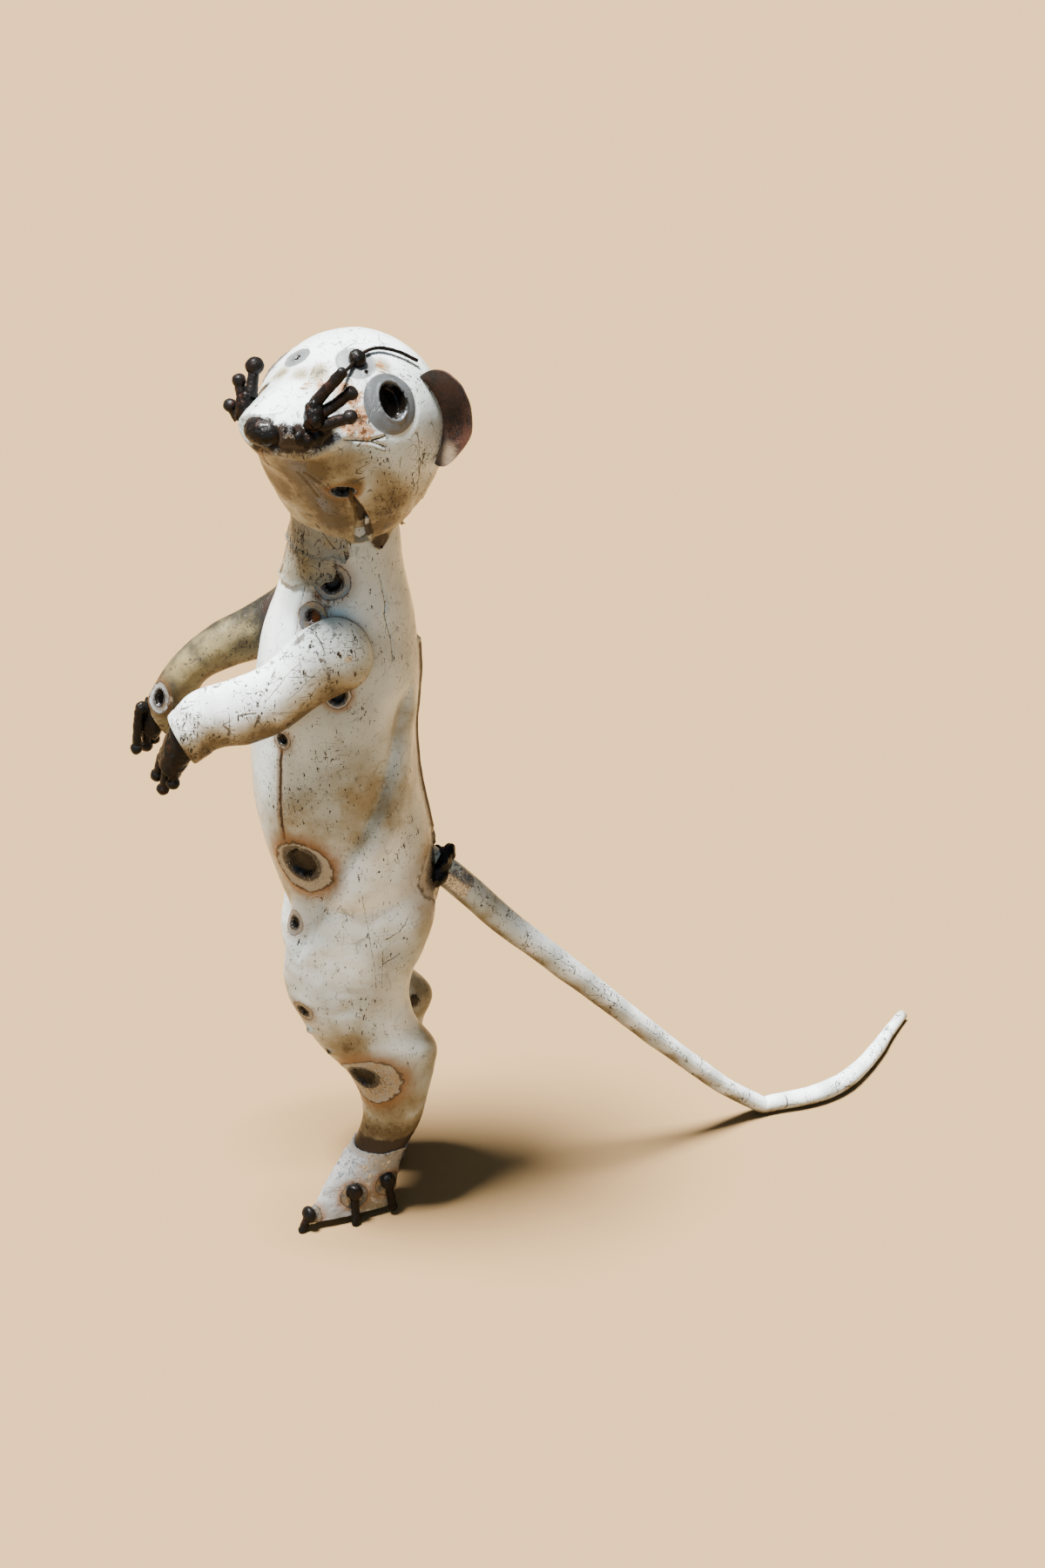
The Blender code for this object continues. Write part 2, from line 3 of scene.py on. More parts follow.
import bmesh
import bpy
import numpy as np
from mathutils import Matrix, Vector


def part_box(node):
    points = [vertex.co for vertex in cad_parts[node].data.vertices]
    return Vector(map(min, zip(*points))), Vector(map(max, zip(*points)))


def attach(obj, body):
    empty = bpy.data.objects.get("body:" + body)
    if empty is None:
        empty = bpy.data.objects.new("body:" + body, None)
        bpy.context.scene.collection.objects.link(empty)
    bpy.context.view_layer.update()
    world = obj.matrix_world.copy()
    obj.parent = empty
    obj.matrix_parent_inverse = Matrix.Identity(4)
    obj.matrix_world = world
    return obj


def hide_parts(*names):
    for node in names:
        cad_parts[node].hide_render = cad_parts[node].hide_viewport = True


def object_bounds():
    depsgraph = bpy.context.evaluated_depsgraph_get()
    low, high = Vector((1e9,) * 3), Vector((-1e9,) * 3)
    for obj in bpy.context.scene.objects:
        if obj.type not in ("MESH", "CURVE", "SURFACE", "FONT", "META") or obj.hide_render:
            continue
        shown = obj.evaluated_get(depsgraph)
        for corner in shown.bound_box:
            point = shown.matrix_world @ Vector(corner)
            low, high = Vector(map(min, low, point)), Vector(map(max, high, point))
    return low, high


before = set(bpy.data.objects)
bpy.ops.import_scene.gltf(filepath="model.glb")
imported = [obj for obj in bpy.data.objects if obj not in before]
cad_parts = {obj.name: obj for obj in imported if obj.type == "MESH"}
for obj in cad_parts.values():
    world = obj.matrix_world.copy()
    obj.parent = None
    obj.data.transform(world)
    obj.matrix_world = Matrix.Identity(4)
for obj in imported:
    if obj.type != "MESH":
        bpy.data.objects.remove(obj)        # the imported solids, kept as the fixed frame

# A standing figure beaten and welded from old drum sheet. Shapes are drawn on squares,
# 499.5 of them to the figure's height, facing -Y with its left side towards +X.
cadLow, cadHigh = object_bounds()
figure = {"tall": 499.5, "chestForward": 53.5, "sheet": 1.2}
square = (cadHigh.z - cadLow.z) / figure["tall"]
bodyLow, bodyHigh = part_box("body")
home = np.array([(bodyLow.x + bodyHigh.x) / 2, bodyLow.y + figure["chestForward"] * square, 0])


# Curves, rings and noise, all in squares

def through(rows, count):
    # smooth curve through the rows, cubic between each two, read at equal steps of length
    rows = np.array(rows, float)
    at = np.concatenate([[0], np.cumsum(np.linalg.norm(np.diff(rows[:, :3], axis=0), axis=1))])
    slope = np.gradient(rows, at, axis=0)
    read = np.linspace(0, at[-1], count)
    cell = np.clip(np.searchsorted(at, read, side="right") - 1, 0, len(at) - 2)
    width = (at[cell + 1] - at[cell])[:, None]
    t = (read - at[cell])[:, None] / width
    curve = rows[cell] * (2 * t**3 - 3 * t**2 + 1) + rows[cell + 1] * (3 * t**2 - 2 * t**3)
    return curve + slope[cell] * width * (t**3 - 2 * t**2 + t) + slope[cell + 1] * width * (t**3 - t**2)


def unit(vectors):
    # each vector divided by its length
    return vectors / np.maximum(np.linalg.norm(vectors, axis=-1, keepdims=True), 1e-9)


def smoothStep(value, low, high):
    # 0 at low, 1 at high, eased between; low may be the greater of the two
    t = np.clip((value - low) / (high - low), 0, 1)
    return t * t * (3 - 2 * t)


def turnsOf(cols):
    # equal shares of a full turn
    return np.arange(cols) * 2 * np.pi / cols


def filledOut(wave, fullness):
    # a sine made fuller, for an oval that is squarer where fullness is over 1
    return np.sign(wave) * np.abs(wave) ** (1 / fullness)


def ovalRings(rows, cols, fullness=1.0, middle=0.0):
    # ring = middle of front and back, plus half depth by cosine and half width by sine
    along, across = filledOut(np.cos(turnsOf(cols)), fullness), filledOut(np.sin(turnsOf(cols)), fullness)
    front, back, half = rows[:, 0:2], rows[:, 2:4], rows[:, -1]
    grid = np.empty((len(rows), cols, 3))
    grid[..., 0] = np.reshape(middle, (-1, 1)) + half[:, None] * across
    grid[..., 1:] = ((front + back) / 2)[:, None] + ((front - back) / 2)[:, None] * along[None, :, None]
    return grid


def limbRings(table, count, cols):
    # oval rings along a smooth curve through a table whose fifth column is the middle's x
    rows = through(table, count)
    return ovalRings(rows, cols, middle=rows[:, 4])


def domed(grid, height, steps):
    # a cap before the first ring: it shrinks by cosine and moves out by sine, almost to a quarter turn
    middle, inner = grid[0].mean(axis=0), grid[1].mean(axis=0)
    out = unit(middle - inner) * height
    turn = np.linspace(0, np.pi / 2 * 0.97, steps + 1)[1:][::-1, None, None]
    return np.concatenate([middle + (grid[0] - middle) * np.cos(turn) + out * np.sin(turn), grid])


def tubeRings(path, radii, cols, up=(0, 0, 1)):
    # circles square to the path, each with its own radius
    tangent = unit(np.gradient(np.array(path, float), axis=0))
    side = unit(np.cross(tangent, up))
    over = np.cross(side, tangent)
    turn = turnsOf(cols)[None, :, None]
    wheel = side[:, None] * np.cos(turn) + over[:, None] * np.sin(turn)
    return np.array(path)[:, None] + wheel * np.reshape(radii, (-1, 1, 1))


def ballRings(middle, axes, radii, rows, cols):
    # ellipsoid: latitude by cosine along the first axis, longitude round it
    lat, lon = np.linspace(0.04, np.pi - 0.04, rows)[:, None, None], turnsOf(cols)[None, :, None]
    a, b, c = [np.array(axis) * radius for axis, radius in zip(axes, radii)]
    return np.array(middle) + a * np.cos(lat) + (b * np.cos(lon) + c * np.sin(lon)) * np.sin(lat)


def noiseAt(points, size, seed=0):
    # value noise from -1 to 1: a hashed number at each lattice corner, blended by smooth steps
    grain = np.asarray(points, float) / size
    cell = np.floor(grain).astype(np.int64)
    f = grain - cell
    f = f * f * (3 - 2 * f)
    total = 0
    for corner in product((0, 1), repeat=3):
        key = (cell + corner) * np.array([73856093, 19349663, 83492791])
        key = (key[..., 0] ^ key[..., 1] ^ key[..., 2] ^ (seed * 2654435)) & 0xFFFFFF
        key = (key ^ (key >> 7)) * 1103515 + 12345 & 0xFFFFFF
        share = np.prod(np.where(corner, f, 1 - f), axis=-1)
        total = total + share * (((key ^ (key >> 9)) & 0xFFFF) / 32767.5 - 1)
    return total


def roughAt(points, size, octaves=3, seed=0):
    # noise with finer noise of half the strength added at each octave
    return sum(noiseAt(points, size / 2**i, seed + 7 * i) / 2**i for i in range(octaves))


def mirrored(place):
    # the same place, or line of places, on the other side of the figure
    return np.array(place, float) * (-1, 1, 1)


# From grids of points to pieces

def closedGrid(grid):
    # quads round and along the rings, with a fan from the middle over each end
    rows, cols = grid.shape[:2]
    here = np.arange(rows * cols).reshape(rows, cols)
    beside = np.roll(here, -1, axis=1)
    quads = np.stack([here[:-1], beside[:-1], beside[1:], here[1:]], axis=-1).reshape(-1, 4)
    ends = rows * cols + np.array([0, 1])
    fans = [np.stack([beside[0], here[0], np.full(cols, ends[0])], axis=-1),
            np.stack([here[-1], beside[-1], np.full(cols, ends[1])], axis=-1)]
    points = np.vstack([grid.reshape(-1, 3), grid[0].mean(axis=0), grid[-1].mean(axis=0)])
    return points, quads.tolist() + fans[0].tolist() + fans[1].tolist()


def sheetGrid(grid, thickness):
    # an open grid and its copy set along the normals by the thickness, joined round the edge
    rows, cols = grid.shape[:2]
    inward = unit(np.cross(np.gradient(grid, axis=0), np.gradient(grid, axis=1)))
    here = np.arange(rows * cols).reshape(rows, cols)
    skin = np.stack([here[:-1, :-1], here[:-1, 1:], here[1:, 1:], here[1:, :-1]], axis=-1).reshape(-1, 4)
    edge = np.concatenate([here[0, :-1], here[:-1, -1], here[-1, :0:-1], here[:0:-1, 0]])
    rim = np.stack([edge, edge + rows * cols, np.roll(edge, -1) + rows * cols, np.roll(edge, -1)], axis=-1)
    points = np.vstack([grid.reshape(-1, 3), (grid + inward * thickness).reshape(-1, 3)])
    return points, skin.tolist() + (skin[:, ::-1] + rows * cols).tolist() + rim.tolist()


def meshOf(name, shells):
    # one mesh from several closed shells, placed in metres, its faces turned outwards
    points, faces, offset = [], [], 0
    for shellPoints, shellFaces in shells:
        points.append(home + shellPoints * square)
        faces += [[corner + offset for corner in face] for face in shellFaces]
        offset += len(shellPoints)
    mesh = bpy.data.meshes.new(name)
    mesh.from_pydata(np.vstack(points).tolist(), [], faces)
    bm = bmesh.new()
    bm.from_mesh(mesh)
    bmesh.ops.recalc_face_normals(bm, faces=bm.faces)
    bm.to_mesh(mesh)
    bm.free()
    return mesh


def weldedMesh(name, shells, lattice, easing):
    # shells that run into each other, closed over on a fine lattice into one skin and eased
    rough = bpy.data.objects.new(name + "Rough", meshOf(name, shells))
    bpy.context.scene.collection.objects.link(rough)
    step = rough.modifiers.new("lattice", "REMESH")
    step.mode = "VOXEL"
    step.voxel_size = lattice * square
    step = rough.modifiers.new("ease", "SMOOTH")
    step.iterations = easing
    step.factor = 0.5
    graph = bpy.context.evaluated_depsgraph_get()
    mesh = bpy.data.meshes.new_from_object(rough.evaluated_get(graph))
    bpy.data.objects.remove(rough)
    return mesh


def pointsOf(mesh):
    # the mesh's points, in squares from home
    flat = np.empty(len(mesh.vertices) * 3, np.float32)
    mesh.vertices.foreach_get("co", flat)
    return (flat.reshape(-1, 3).astype(float) - home) / square


def normalsOf(mesh):
    # one outward normal for each point
    flat = np.empty(len(mesh.vertices) * 3, np.float32)
    mesh.vertex_normals.foreach_get("vector", flat)
    return flat.reshape(-1, 3).astype(float)


def setPoints(mesh, points):
    # puts points in squares back as metres
    mesh.vertices.foreach_set("co", (home + points * square).astype(np.float32).ravel())
    mesh.update()


def press(mesh, relief):
    # moves each point along its normal by relief(point, normal), in squares
    points, normals = pointsOf(mesh), normalsOf(mesh)
    setPoints(mesh, points + normals * relief(points, normals)[:, None])


# Marks: burns, cuts and stains, measured on the points and kept as attributes

def burnMeasures(points, burns):
    # the nearest burn's number, and the distance to it in ring radii and in core radii
    rings, cores = [], []
    for burn in burns:
        scale = np.array(burn.get("stretch", (1, 1, 1)))
        rings.append(np.linalg.norm((points - burn["at"]) * scale, axis=-1) / burn["ring"])
        coreAt = np.array(burn.get("coreAt", burn["at"]))
        cores.append(np.linalg.norm((points - coreAt) * scale, axis=-1) / burn["core"])
    rings, cores = np.array(rings), np.array(cores)
    nearest = rings.argmin(axis=0)
    return nearest, rings.min(axis=0), cores.min(axis=0)


def cutMeasures(points, normals, cuts):
    # the nearest cut's distance, the offset to its left or right, and its half-width
    near, side, wide = np.full(len(points), 99.0), np.zeros(len(points)), np.full(len(points), 0.1)
    for line, halfWidth in cuts:
        line = np.array(line, float)
        for start, end in zip(line, line[1:]):
            run = end - start
            share = np.clip(((points - start) @ run) / (run @ run), 0, 1)
            away = np.linalg.norm(points - start - share[:, None] * run, axis=-1)
            offset = np.einsum("ij,ij->i", points - start, unit(np.cross(run, normals)))
            closer = away < near
            side, wide = np.where(closer, offset, side), np.where(closer, halfWidth, wide)
            near = np.minimum(near, away)
    return near, side, wide


def stainAt(points, places):
    # the strongest of several soft round patches, each a centre, a reach and a strength
    amount = np.zeros(len(points))
    for centre, reach, strength in places:
        away = np.linalg.norm(points - np.array(centre), axis=-1)
        amount = np.maximum(amount, strength * np.exp(-((away / reach) ** 2)))
    return amount


stainAndLightNames = ("ochreAndShade", "rust", "wear", "paintedLight", "sootAndShade", "bare")


def markMesh(mesh, burns=(), cuts=(), stainsAndLight={}, under=0.3):
    # writes what the enamel's nodes read: distances to burns and cuts, and amounts of stain, painted light
    # and painted shade
    points, normals = pointsOf(mesh), normalsOf(mesh)
    values = {"ringAway": np.full(len(points), 99.0), "coreAway": np.full(len(points), 99.0)}
    if burns:
        nearest, values["ringAway"], values["coreAway"] = burnMeasures(points, burns)
        for label, plain in (("halo", 0.5), ("warm", 0.2), ("even", 0.0), ("dark", 0.4)):
            values[label] = np.array([burn.get(label, plain) for burn in burns])[nearest]
    values["cutAway"], values["cutSide"], values["cutWide"] = cutMeasures(points, normals, cuts)
    for label in stainAndLightNames:
        values[label] = stainAt(points, stainsAndLight.get(label, ()))
    # painted shade: faces that turn downwards get more ochre, by the share given as under
    values["ochreAndShade"] = values["ochreAndShade"] + under * smoothStep(normals[:, 2], 0.15, -0.75)
    for label, amounts in values.items():
        mask = mesh.attributes.new(label, "FLOAT", "POINT")
        mask.data.foreach_set("value", np.asarray(amounts, np.float32))


def deepen(mesh, label, amounts):
    # raises a stain to at least these amounts
    values = np.empty(len(mesh.vertices), np.float32)
    mesh.attributes[label].data.foreach_get("value", values)
    mesh.attributes[label].data.foreach_set("value", np.maximum(values, amounts).astype(np.float32))


def bothSides(burns):
    # every burn and its mirror image
    return burns + [{**burn, "at": mirrored(burn["at"]), "coreAt": mirrored(burn.get("coreAt", burn["at"]))}
                    for burn in burns]


def craterRelief(points, burns):
    # each burn: the sheet sinks a little inside the ring, with a lip, a crust and a deep core
    nearest, ring, core = burnMeasures(points, burns)
    deep, lip = [np.array([burn.get(label, plain) for burn in burns])[nearest]
                 for label, plain in (("deep", 1.5), ("lip", 0.35))]
    ring = ring + 0.05 * noiseAt(points, 2.5, 4)
    core = core + 0.12 * noiseAt(points, 1.6, 5)
    move = -deep * smoothStep(core, 1.15, 0.7) + 0.35 * np.exp(-((core - 1.25) / 0.16) ** 2)
    return move - 0.3 * smoothStep(ring, 1.04, 0.95) + lip * np.exp(-((ring - 1.0) / 0.07) ** 2)


def cutRelief(points, normals, cuts, depth, lip=0.25):
    # a bell-shaped groove across each cut, with a low bell-shaped lip on both sides
    near, side, wide = cutMeasures(points, normals, cuts)
    close = near < 3
    groove = -depth * np.exp(-((side / np.maximum(wide * 1.6, 0.7)) ** 2))
    return close * (groove + lip * np.exp(-(((np.abs(side) - wide * 2 - 1) / 0.8) ** 2)))


def finishPiece(name, mesh, finishes, replaced=(), creaseAngle=50):
    # smooth shading, materials, and the piece's place in the frame
    mesh.name = name
    mesh.shade_smooth()
    mesh.set_sharp_from_angle(angle=np.radians(creaseAngle))
    mesh.materials.clear()
    for finish in finishes if isinstance(finishes, list) else [finishes]:
        mesh.materials.append(finish)
    piece = bpy.data.objects.new(name, mesh)
    bpy.context.scene.collection.objects.link(piece)
    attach(piece, "root")
    if replaced:
        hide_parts(*replaced)
    return piece


# Node graphs

def put(tree, kind, inputs=(), output=0, **settings):
    # adds a node, sets or links its inputs and gives back one of its outputs
    node = tree.nodes.new("ShaderNode" + kind)
    for key, value in settings.items():
        setattr(node, key, value)
    for socket, value in dict(inputs).items():
        if isinstance(value, bpy.types.NodeSocket):
            tree.links.new(value, node.inputs[socket])
        else:
            node.inputs[socket].default_value = value
    return node.outputs[output]


def sums(tree, operation, first, second=0.0, third=0.0):
    # one math node
    return put(tree, "Math", {0: first, 1: second, 2: third}, operation=operation)


def swayed(tree, noise, strength, base):
    # base + (noise - 0.5) * strength
    return sums(tree, "MULTIPLY_ADD", sums(tree, "SUBTRACT", noise, 0.5), strength, base)


def between(tree, value, low, high, least=0.0, most=1.0, easing="SMOOTHSTEP"):
    # least at low, most at high, eased between
    inputs = {"Value": value, "From Min": low, "From Max": high, "To Min": least, "To Max": most}
    return put(tree, "MapRange", inputs, interpolation_type=easing)


def mixed(tree, share, first, second):
    # the first colour turning into the second as the share goes from 0 to 1
    inputs = {0: share, 6: first, 7: second}
    return put(tree, "Mix", inputs, output=2, data_type="RGBA")


def noiseOf(tree, vector, scale, detail=4.0, roughness=0.55, output=0):
    inputs = {"Vector": vector, "Scale": scale, "Detail": detail, "Roughness": roughness}
    return put(tree, "TexNoise", inputs, output=output)


def stretched(tree, vector, scale, turn=(0, 0, 0)):
    return put(tree, "Mapping", {"Vector": vector, "Scale": scale, "Rotation": turn})


def attributeOf(tree, label):
    return put(tree, "Attribute", output=2, attribute_name=label)


def newGroup(name, inputs, outputs):
    # a node group whose named inputs are given with their plain values
    group = bpy.data.node_groups.new(name, "ShaderNodeTree")
    for label, value in inputs.items():
        kind = "Float"
        if isinstance(value, tuple):
            kind = "Color" if len(value) == 4 else "Vector"
        socket = group.interface.new_socket(label, in_out="INPUT", socket_type="NodeSocket" + kind)
        socket.default_value = value
    for label, kind in outputs.items():
        group.interface.new_socket(label, in_out="OUTPUT", socket_type="NodeSocket" + kind)
    return group, group.nodes.new("NodeGroupInput").outputs, group.nodes.new("NodeGroupOutput").inputs


def use(tree, group, inputs):
    # places a node group and sets or links its inputs by name
    node = tree.nodes.new("ShaderNodeGroup")
    node.node_tree = group
    for label, value in inputs.items():
        if isinstance(value, bpy.types.NodeSocket):
            tree.links.new(value, node.inputs[label])
        else:
            node.inputs[label].default_value = value
    return node.outputs


def newFinish(name, **plain):
    # a material, its shader with the plain values set, and the object's coordinates
    finish = bpy.data.materials.new(name)
    finish.use_nodes = True
    tree = finish.node_tree
    shader = tree.nodes["Principled BSDF"]
    for label, value in plain.items():
        shader.inputs[label].default_value = value
    return finish, tree, shader, put(tree, "TexCoord", output=3)


def bumped(tree, shader, height, strength, reach=0.0006):
    # fine relief from a height, reach in metres
    bump = put(tree, "Bump", {"Height": height, "Strength": strength, "Distance": reach})
    tree.links.new(bump, shader.inputs["Normal"])


def metres(point):
    # a place in squares as metres in the frame
    return tuple(float(value) for value in home + np.array(point, float) * square)


def makeEnamelGroup():
    # old enamel: patchy tone, stains, painted light and painted shade, dashes, specks and hairlines
    group, given, told = newGroup(
        "oldEnamel",
        {"Vector": (0, 0, 0), "Paint": (0.66, 0.71, 0.7, 1), "Dull": (0.225, 0.255, 0.23, 1),
         "ochreAndShade": 0.0, "rust": 0.0, "wear": 0.0, "paintedLight": 0.0, "sootAndShade": 0.0, "bare": 0.0,
         "Chipped": 0.5, "Scratched": 0.5, "Lean": (0, 0, 0)},
        {"Color": "Color", "Roughness": "Float", "Metallic": "Float", "Height": "Float"})
    place = given["Vector"]
    broad, patch = noiseOf(group, place, 24, 3), noiseOf(group, place, 78, 5, 0.6)
    fine, grit = noiseOf(group, place, 380, 4, 0.6), noiseOf(group, place, 1250, 3, 0.6)
    # paint, dulled by broad patches and paler where light is painted on
    dull = swayed(group, broad, 1.5, 0.6)
    dull = sums(group, "MULTIPLY_ADD", given["paintedLight"], -0.9, dull)
    tone = mixed(group, put(group, "Clamp", {"Value": dull}), given["Paint"], given["Dull"])
    # ochre stain and painted shade, deepening to brown where it is strongest
    soakAndShade = swayed(group, patch, 1.1, given["ochreAndShade"])
    soakAndShade = swayed(group, broad, 0.5, soakAndShade)
    tone = mixed(group, between(group, soakAndShade, 0.08, 0.85, 0.0, 0.88), tone, (0.185, 0.145, 0.068, 1))
    brown = swayed(group, fine, 1.2, soakAndShade)
    tone = mixed(group, between(group, brown, 0.8, 1.3, 0.0, 0.85), tone, (0.065, 0.034, 0.013, 1))
    tone = mixed(group, between(group, soakAndShade, 0.6, 1.5, 0.0, 0.85), tone, (0.068, 0.052, 0.022, 1))
    # rust: orange speckle over darker pits
    speckled = sums(group, "MULTIPLY_ADD", given["rust"], 0.42, sums(group, "MULTIPLY", fine, 0.6))
    speckled = sums(group, "MULTIPLY_ADD", grit, 0.4, speckled)
    tone = mixed(group, between(group, speckled, 0.66, 0.76, 0.0, 0.85), tone, (0.3, 0.135, 0.04, 1))
    tone = mixed(group, between(group, speckled, 0.8, 0.88, 0.0, 0.9), tone, (0.07, 0.03, 0.014, 1))
    # hairlines: where stretched noise crosses its middle value, broken up by another noise
    lines = []
    for turn, scale in (((0.5, 0.35, 0.2), (60, 60, 18)), ((-0.8, 0.25, 1.1), (90, 22, 90)),
                        ((0.2, 1.0, 0.6), (30, 130, 130))):
        streak = noiseOf(group, stretched(group, place, scale, turn), 1.0, 1, 0.4)
        streak = sums(group, "ABSOLUTE", sums(group, "SUBTRACT", streak, 0.5))
        lines.append(between(group, streak, 0.003, 0.009, 1.0, 0.0))
    hair = sums(group, "MAXIMUM", sums(group, "MAXIMUM", lines[0], lines[1]), lines[2])
    breaks = between(group, noiseOf(group, place, 130, 3, 0.6), 0.47, 0.56)
    hair = sums(group, "MULTIPLY", hair, sums(group, "MULTIPLY", breaks, given["Scratched"]))
    # dashes: islands of noise stretched along one lean, thicker where the paint is worn
    dash = noiseOf(group, stretched(group, place, (680, 680, 260), given["Lean"]), 1.0, 3, 0.6)
    thin = noiseOf(group, stretched(group, place, (1100, 330, 1100), (0.6, 0.3, 0.9)), 1.0, 3, 0.6)
    other = noiseOf(group, stretched(group, place, (1100, 1100, 300), (1.1, 0.5, 0)), 1.0, 3, 0.6)
    thin = sums(group, "MAXIMUM", thin, other)
    dash = sums(group, "MAXIMUM", dash, sums(group, "SUBTRACT", thin, 0.015))
    clump = between(group, noiseOf(group, place, 60, 3, 0.6), 0.38, 0.7, 0.0, 0.1)
    level = sums(group, "MULTIPLY_ADD", clump, given["Chipped"], dash)
    level = sums(group, "MULTIPLY_ADD", given["wear"], 0.085, level)
    dashes = between(group, level, 0.69, 0.715)
    speck = sums(group, "MULTIPLY_ADD", given["wear"], 0.12, grit)
    speck = swayed(group, patch, 0.25, speck)
    speck = between(group, speck, 0.72, 0.76, 0.0, 0.8)
    tone = mixed(group, sums(group, "MULTIPLY", hair, 0.9), tone, (0.05, 0.04, 0.03, 1))
    tone = mixed(group, speck, tone, (0.11, 0.085, 0.06, 1))
    tone = mixed(group, dashes, tone, (0.022, 0.018, 0.014, 1))
    # bare steel, and soot with painted shade
    steel = between(group, swayed(group, fine, 0.9, given["bare"]), 0.45, 0.6)
    metal = mixed(group, between(group, grit, 0.4, 0.65), (0.42, 0.42, 0.41, 1), (0.1, 0.095, 0.09, 1))
    tone = mixed(group, steel, tone, metal)
    soot = swayed(group, grit, 0.8, swayed(group, patch, 0.8, given["sootAndShade"]))
    soot = between(group, soot, 0.35, 0.75)
    tone = mixed(group, soot, tone, (0.02, 0.014, 0.011, 1))
    group.links.new(tone, told["Color"])
    rough = sums(group, "MULTIPLY_ADD", put(group, "Clamp", {"Value": soakAndShade}), 0.2,
                 between(group, patch, 0.3, 0.7, 0.2, 0.36))
    group.links.new(sums(group, "MULTIPLY_ADD", dashes, 0.3, rough), told["Roughness"])
    group.links.new(sums(group, "MULTIPLY", steel, 0.8), told["Metallic"])
    lumps = sums(group, "MULTIPLY_ADD", fine, 0.16, sums(group, "MULTIPLY", patch, 0.3))
    lumps = sums(group, "MULTIPLY_ADD", sums(group, "MAXIMUM", dashes, hair), -0.5, lumps)
    group.links.new(sums(group, "MULTIPLY_ADD", soot, 0.3, lumps), told["Height"])
    return group


def makeBurnGroup():
    # burns over what is there: glossy charred core, speckled crust, grey ring, dark edge, brown halo
    group, given, told = newGroup(
        "burnMark",
        {"Vector": (0, 0, 0), "Color": (0.8, 0.8, 0.8, 1), "Roughness": 0.4, "Metallic": 0.0, "Height": 0.0,
         "ringAway": 99.0, "coreAway": 99.0, "halo": 0.5, "warm": 0.2, "even": 0.0, "dark": 0.4},
        {"Color": "Color", "Roughness": "Float", "Metallic": "Float", "Height": "Float", "Coat": "Float"})
    place = given["Vector"]
    patch, grit = noiseOf(group, place, 210, 4, 0.65), noiseOf(group, place, 1100, 3, 0.6)
    uneven = sums(group, "SUBTRACT", 1.0, given["even"])
    ring = swayed(group, patch, sums(group, "MULTIPLY", uneven, 0.4), given["ringAway"])
    core = swayed(group, grit, 0.35, swayed(group, patch, 0.45, given["coreAway"]))
    halo = sums(group, "MULTIPLY", between(group, ring, 0.95, 1.7, 1.0, 0.0), given["halo"])
    tone = mixed(group, halo, given["Color"], (0.17, 0.08, 0.025, 1))
    # the ring itself: pale or dark grey, sooty towards the core, beige where it is warm
    grey = mixed(group, given["dark"], (0.34, 0.345, 0.34, 1), (0.06, 0.066, 0.07, 1))
    beige = sums(group, "MULTIPLY", between(group, patch, 0.4, 0.6), given["warm"])
    grey = mixed(group, beige, grey, (0.24, 0.18, 0.1, 1))
    soot = sums(group, "MULTIPLY", between(group, grit, 0.45, 0.6),
                between(group, ring, 0.35, 0.9, 1.0, 0.1))
    soot = sums(group, "MULTIPLY", soot, sums(group, "MULTIPLY_ADD", uneven, 0.85, 0.1))
    inside = between(group, ring, 0.97, 1.01, 1.0, 0.0)
    tone = mixed(group, inside, tone, mixed(group, soot, grey, (0.03, 0.025, 0.022, 1)))
    fade = between(group, ring, 1.0, 1.08, 1.0, 0.0)
    rim = sums(group, "MULTIPLY", between(group, ring, 0.95, 1.0), fade)
    rim = sums(group, "MULTIPLY", rim, sums(group, "MULTIPLY_ADD", uneven, 0.8, 0.1))
    tone = mixed(group, rim, tone, (0.03, 0.022, 0.016, 1))
    # the crust is peppered black and pale, the core glossy black or red-brown; in the eye holes the black
    # core is painted shade
    crust = between(group, core, 1.3, 1.45, 1.0, 0.0)
    pepper = mixed(group, between(group, grit, 0.58, 0.66), (0.015, 0.012, 0.01, 1), (0.22, 0.22, 0.21, 1))
    crust = sums(group, "MULTIPLY", crust, uneven)
    tone = mixed(group, sums(group, "MULTIPLY", crust, 0.9), tone, pepper)
    glow = between(group, given["warm"], 0.6, 1.0)
    ember = sums(group, "MULTIPLY", between(group, patch, 0.42, 0.62), glow)
    charAndHoleShade = mixed(group, ember, (0.004, 0.003, 0.002, 1), (0.1, 0.03, 0.008, 1))
    burnt = between(group, core, 0.95, 1.08, 1.0, 0.0)
    tone = mixed(group, burnt, tone, charAndHoleShade)
    group.links.new(tone, told["Color"])
    rough = sums(group, "MULTIPLY_ADD", burnt, -0.22, between(group, grit, 0.3, 0.7, 0.3, 0.48))
    group.links.new(put(group, "Mix", {0: inside, 2: given["Roughness"], 3: rough}, data_type="FLOAT"),
                    told["Roughness"])
    group.links.new(sums(group, "SUBTRACT", 0.12, sums(group, "MULTIPLY", burnt, 0.1)), told["Coat"])
    bare = sums(group, "SUBTRACT", inside, sums(group, "MAXIMUM", crust, burnt))
    bare = sums(group, "MULTIPLY", put(group, "Clamp", {"Value": bare}), 0.45)
    group.links.new(sums(group, "MAXIMUM", given["Metallic"], bare), told["Metallic"])
    lumps = sums(group, "MULTIPLY_ADD", sums(group, "MULTIPLY", grit, uneven), inside, given["Height"])
    group.links.new(lumps, told["Height"])
    return group


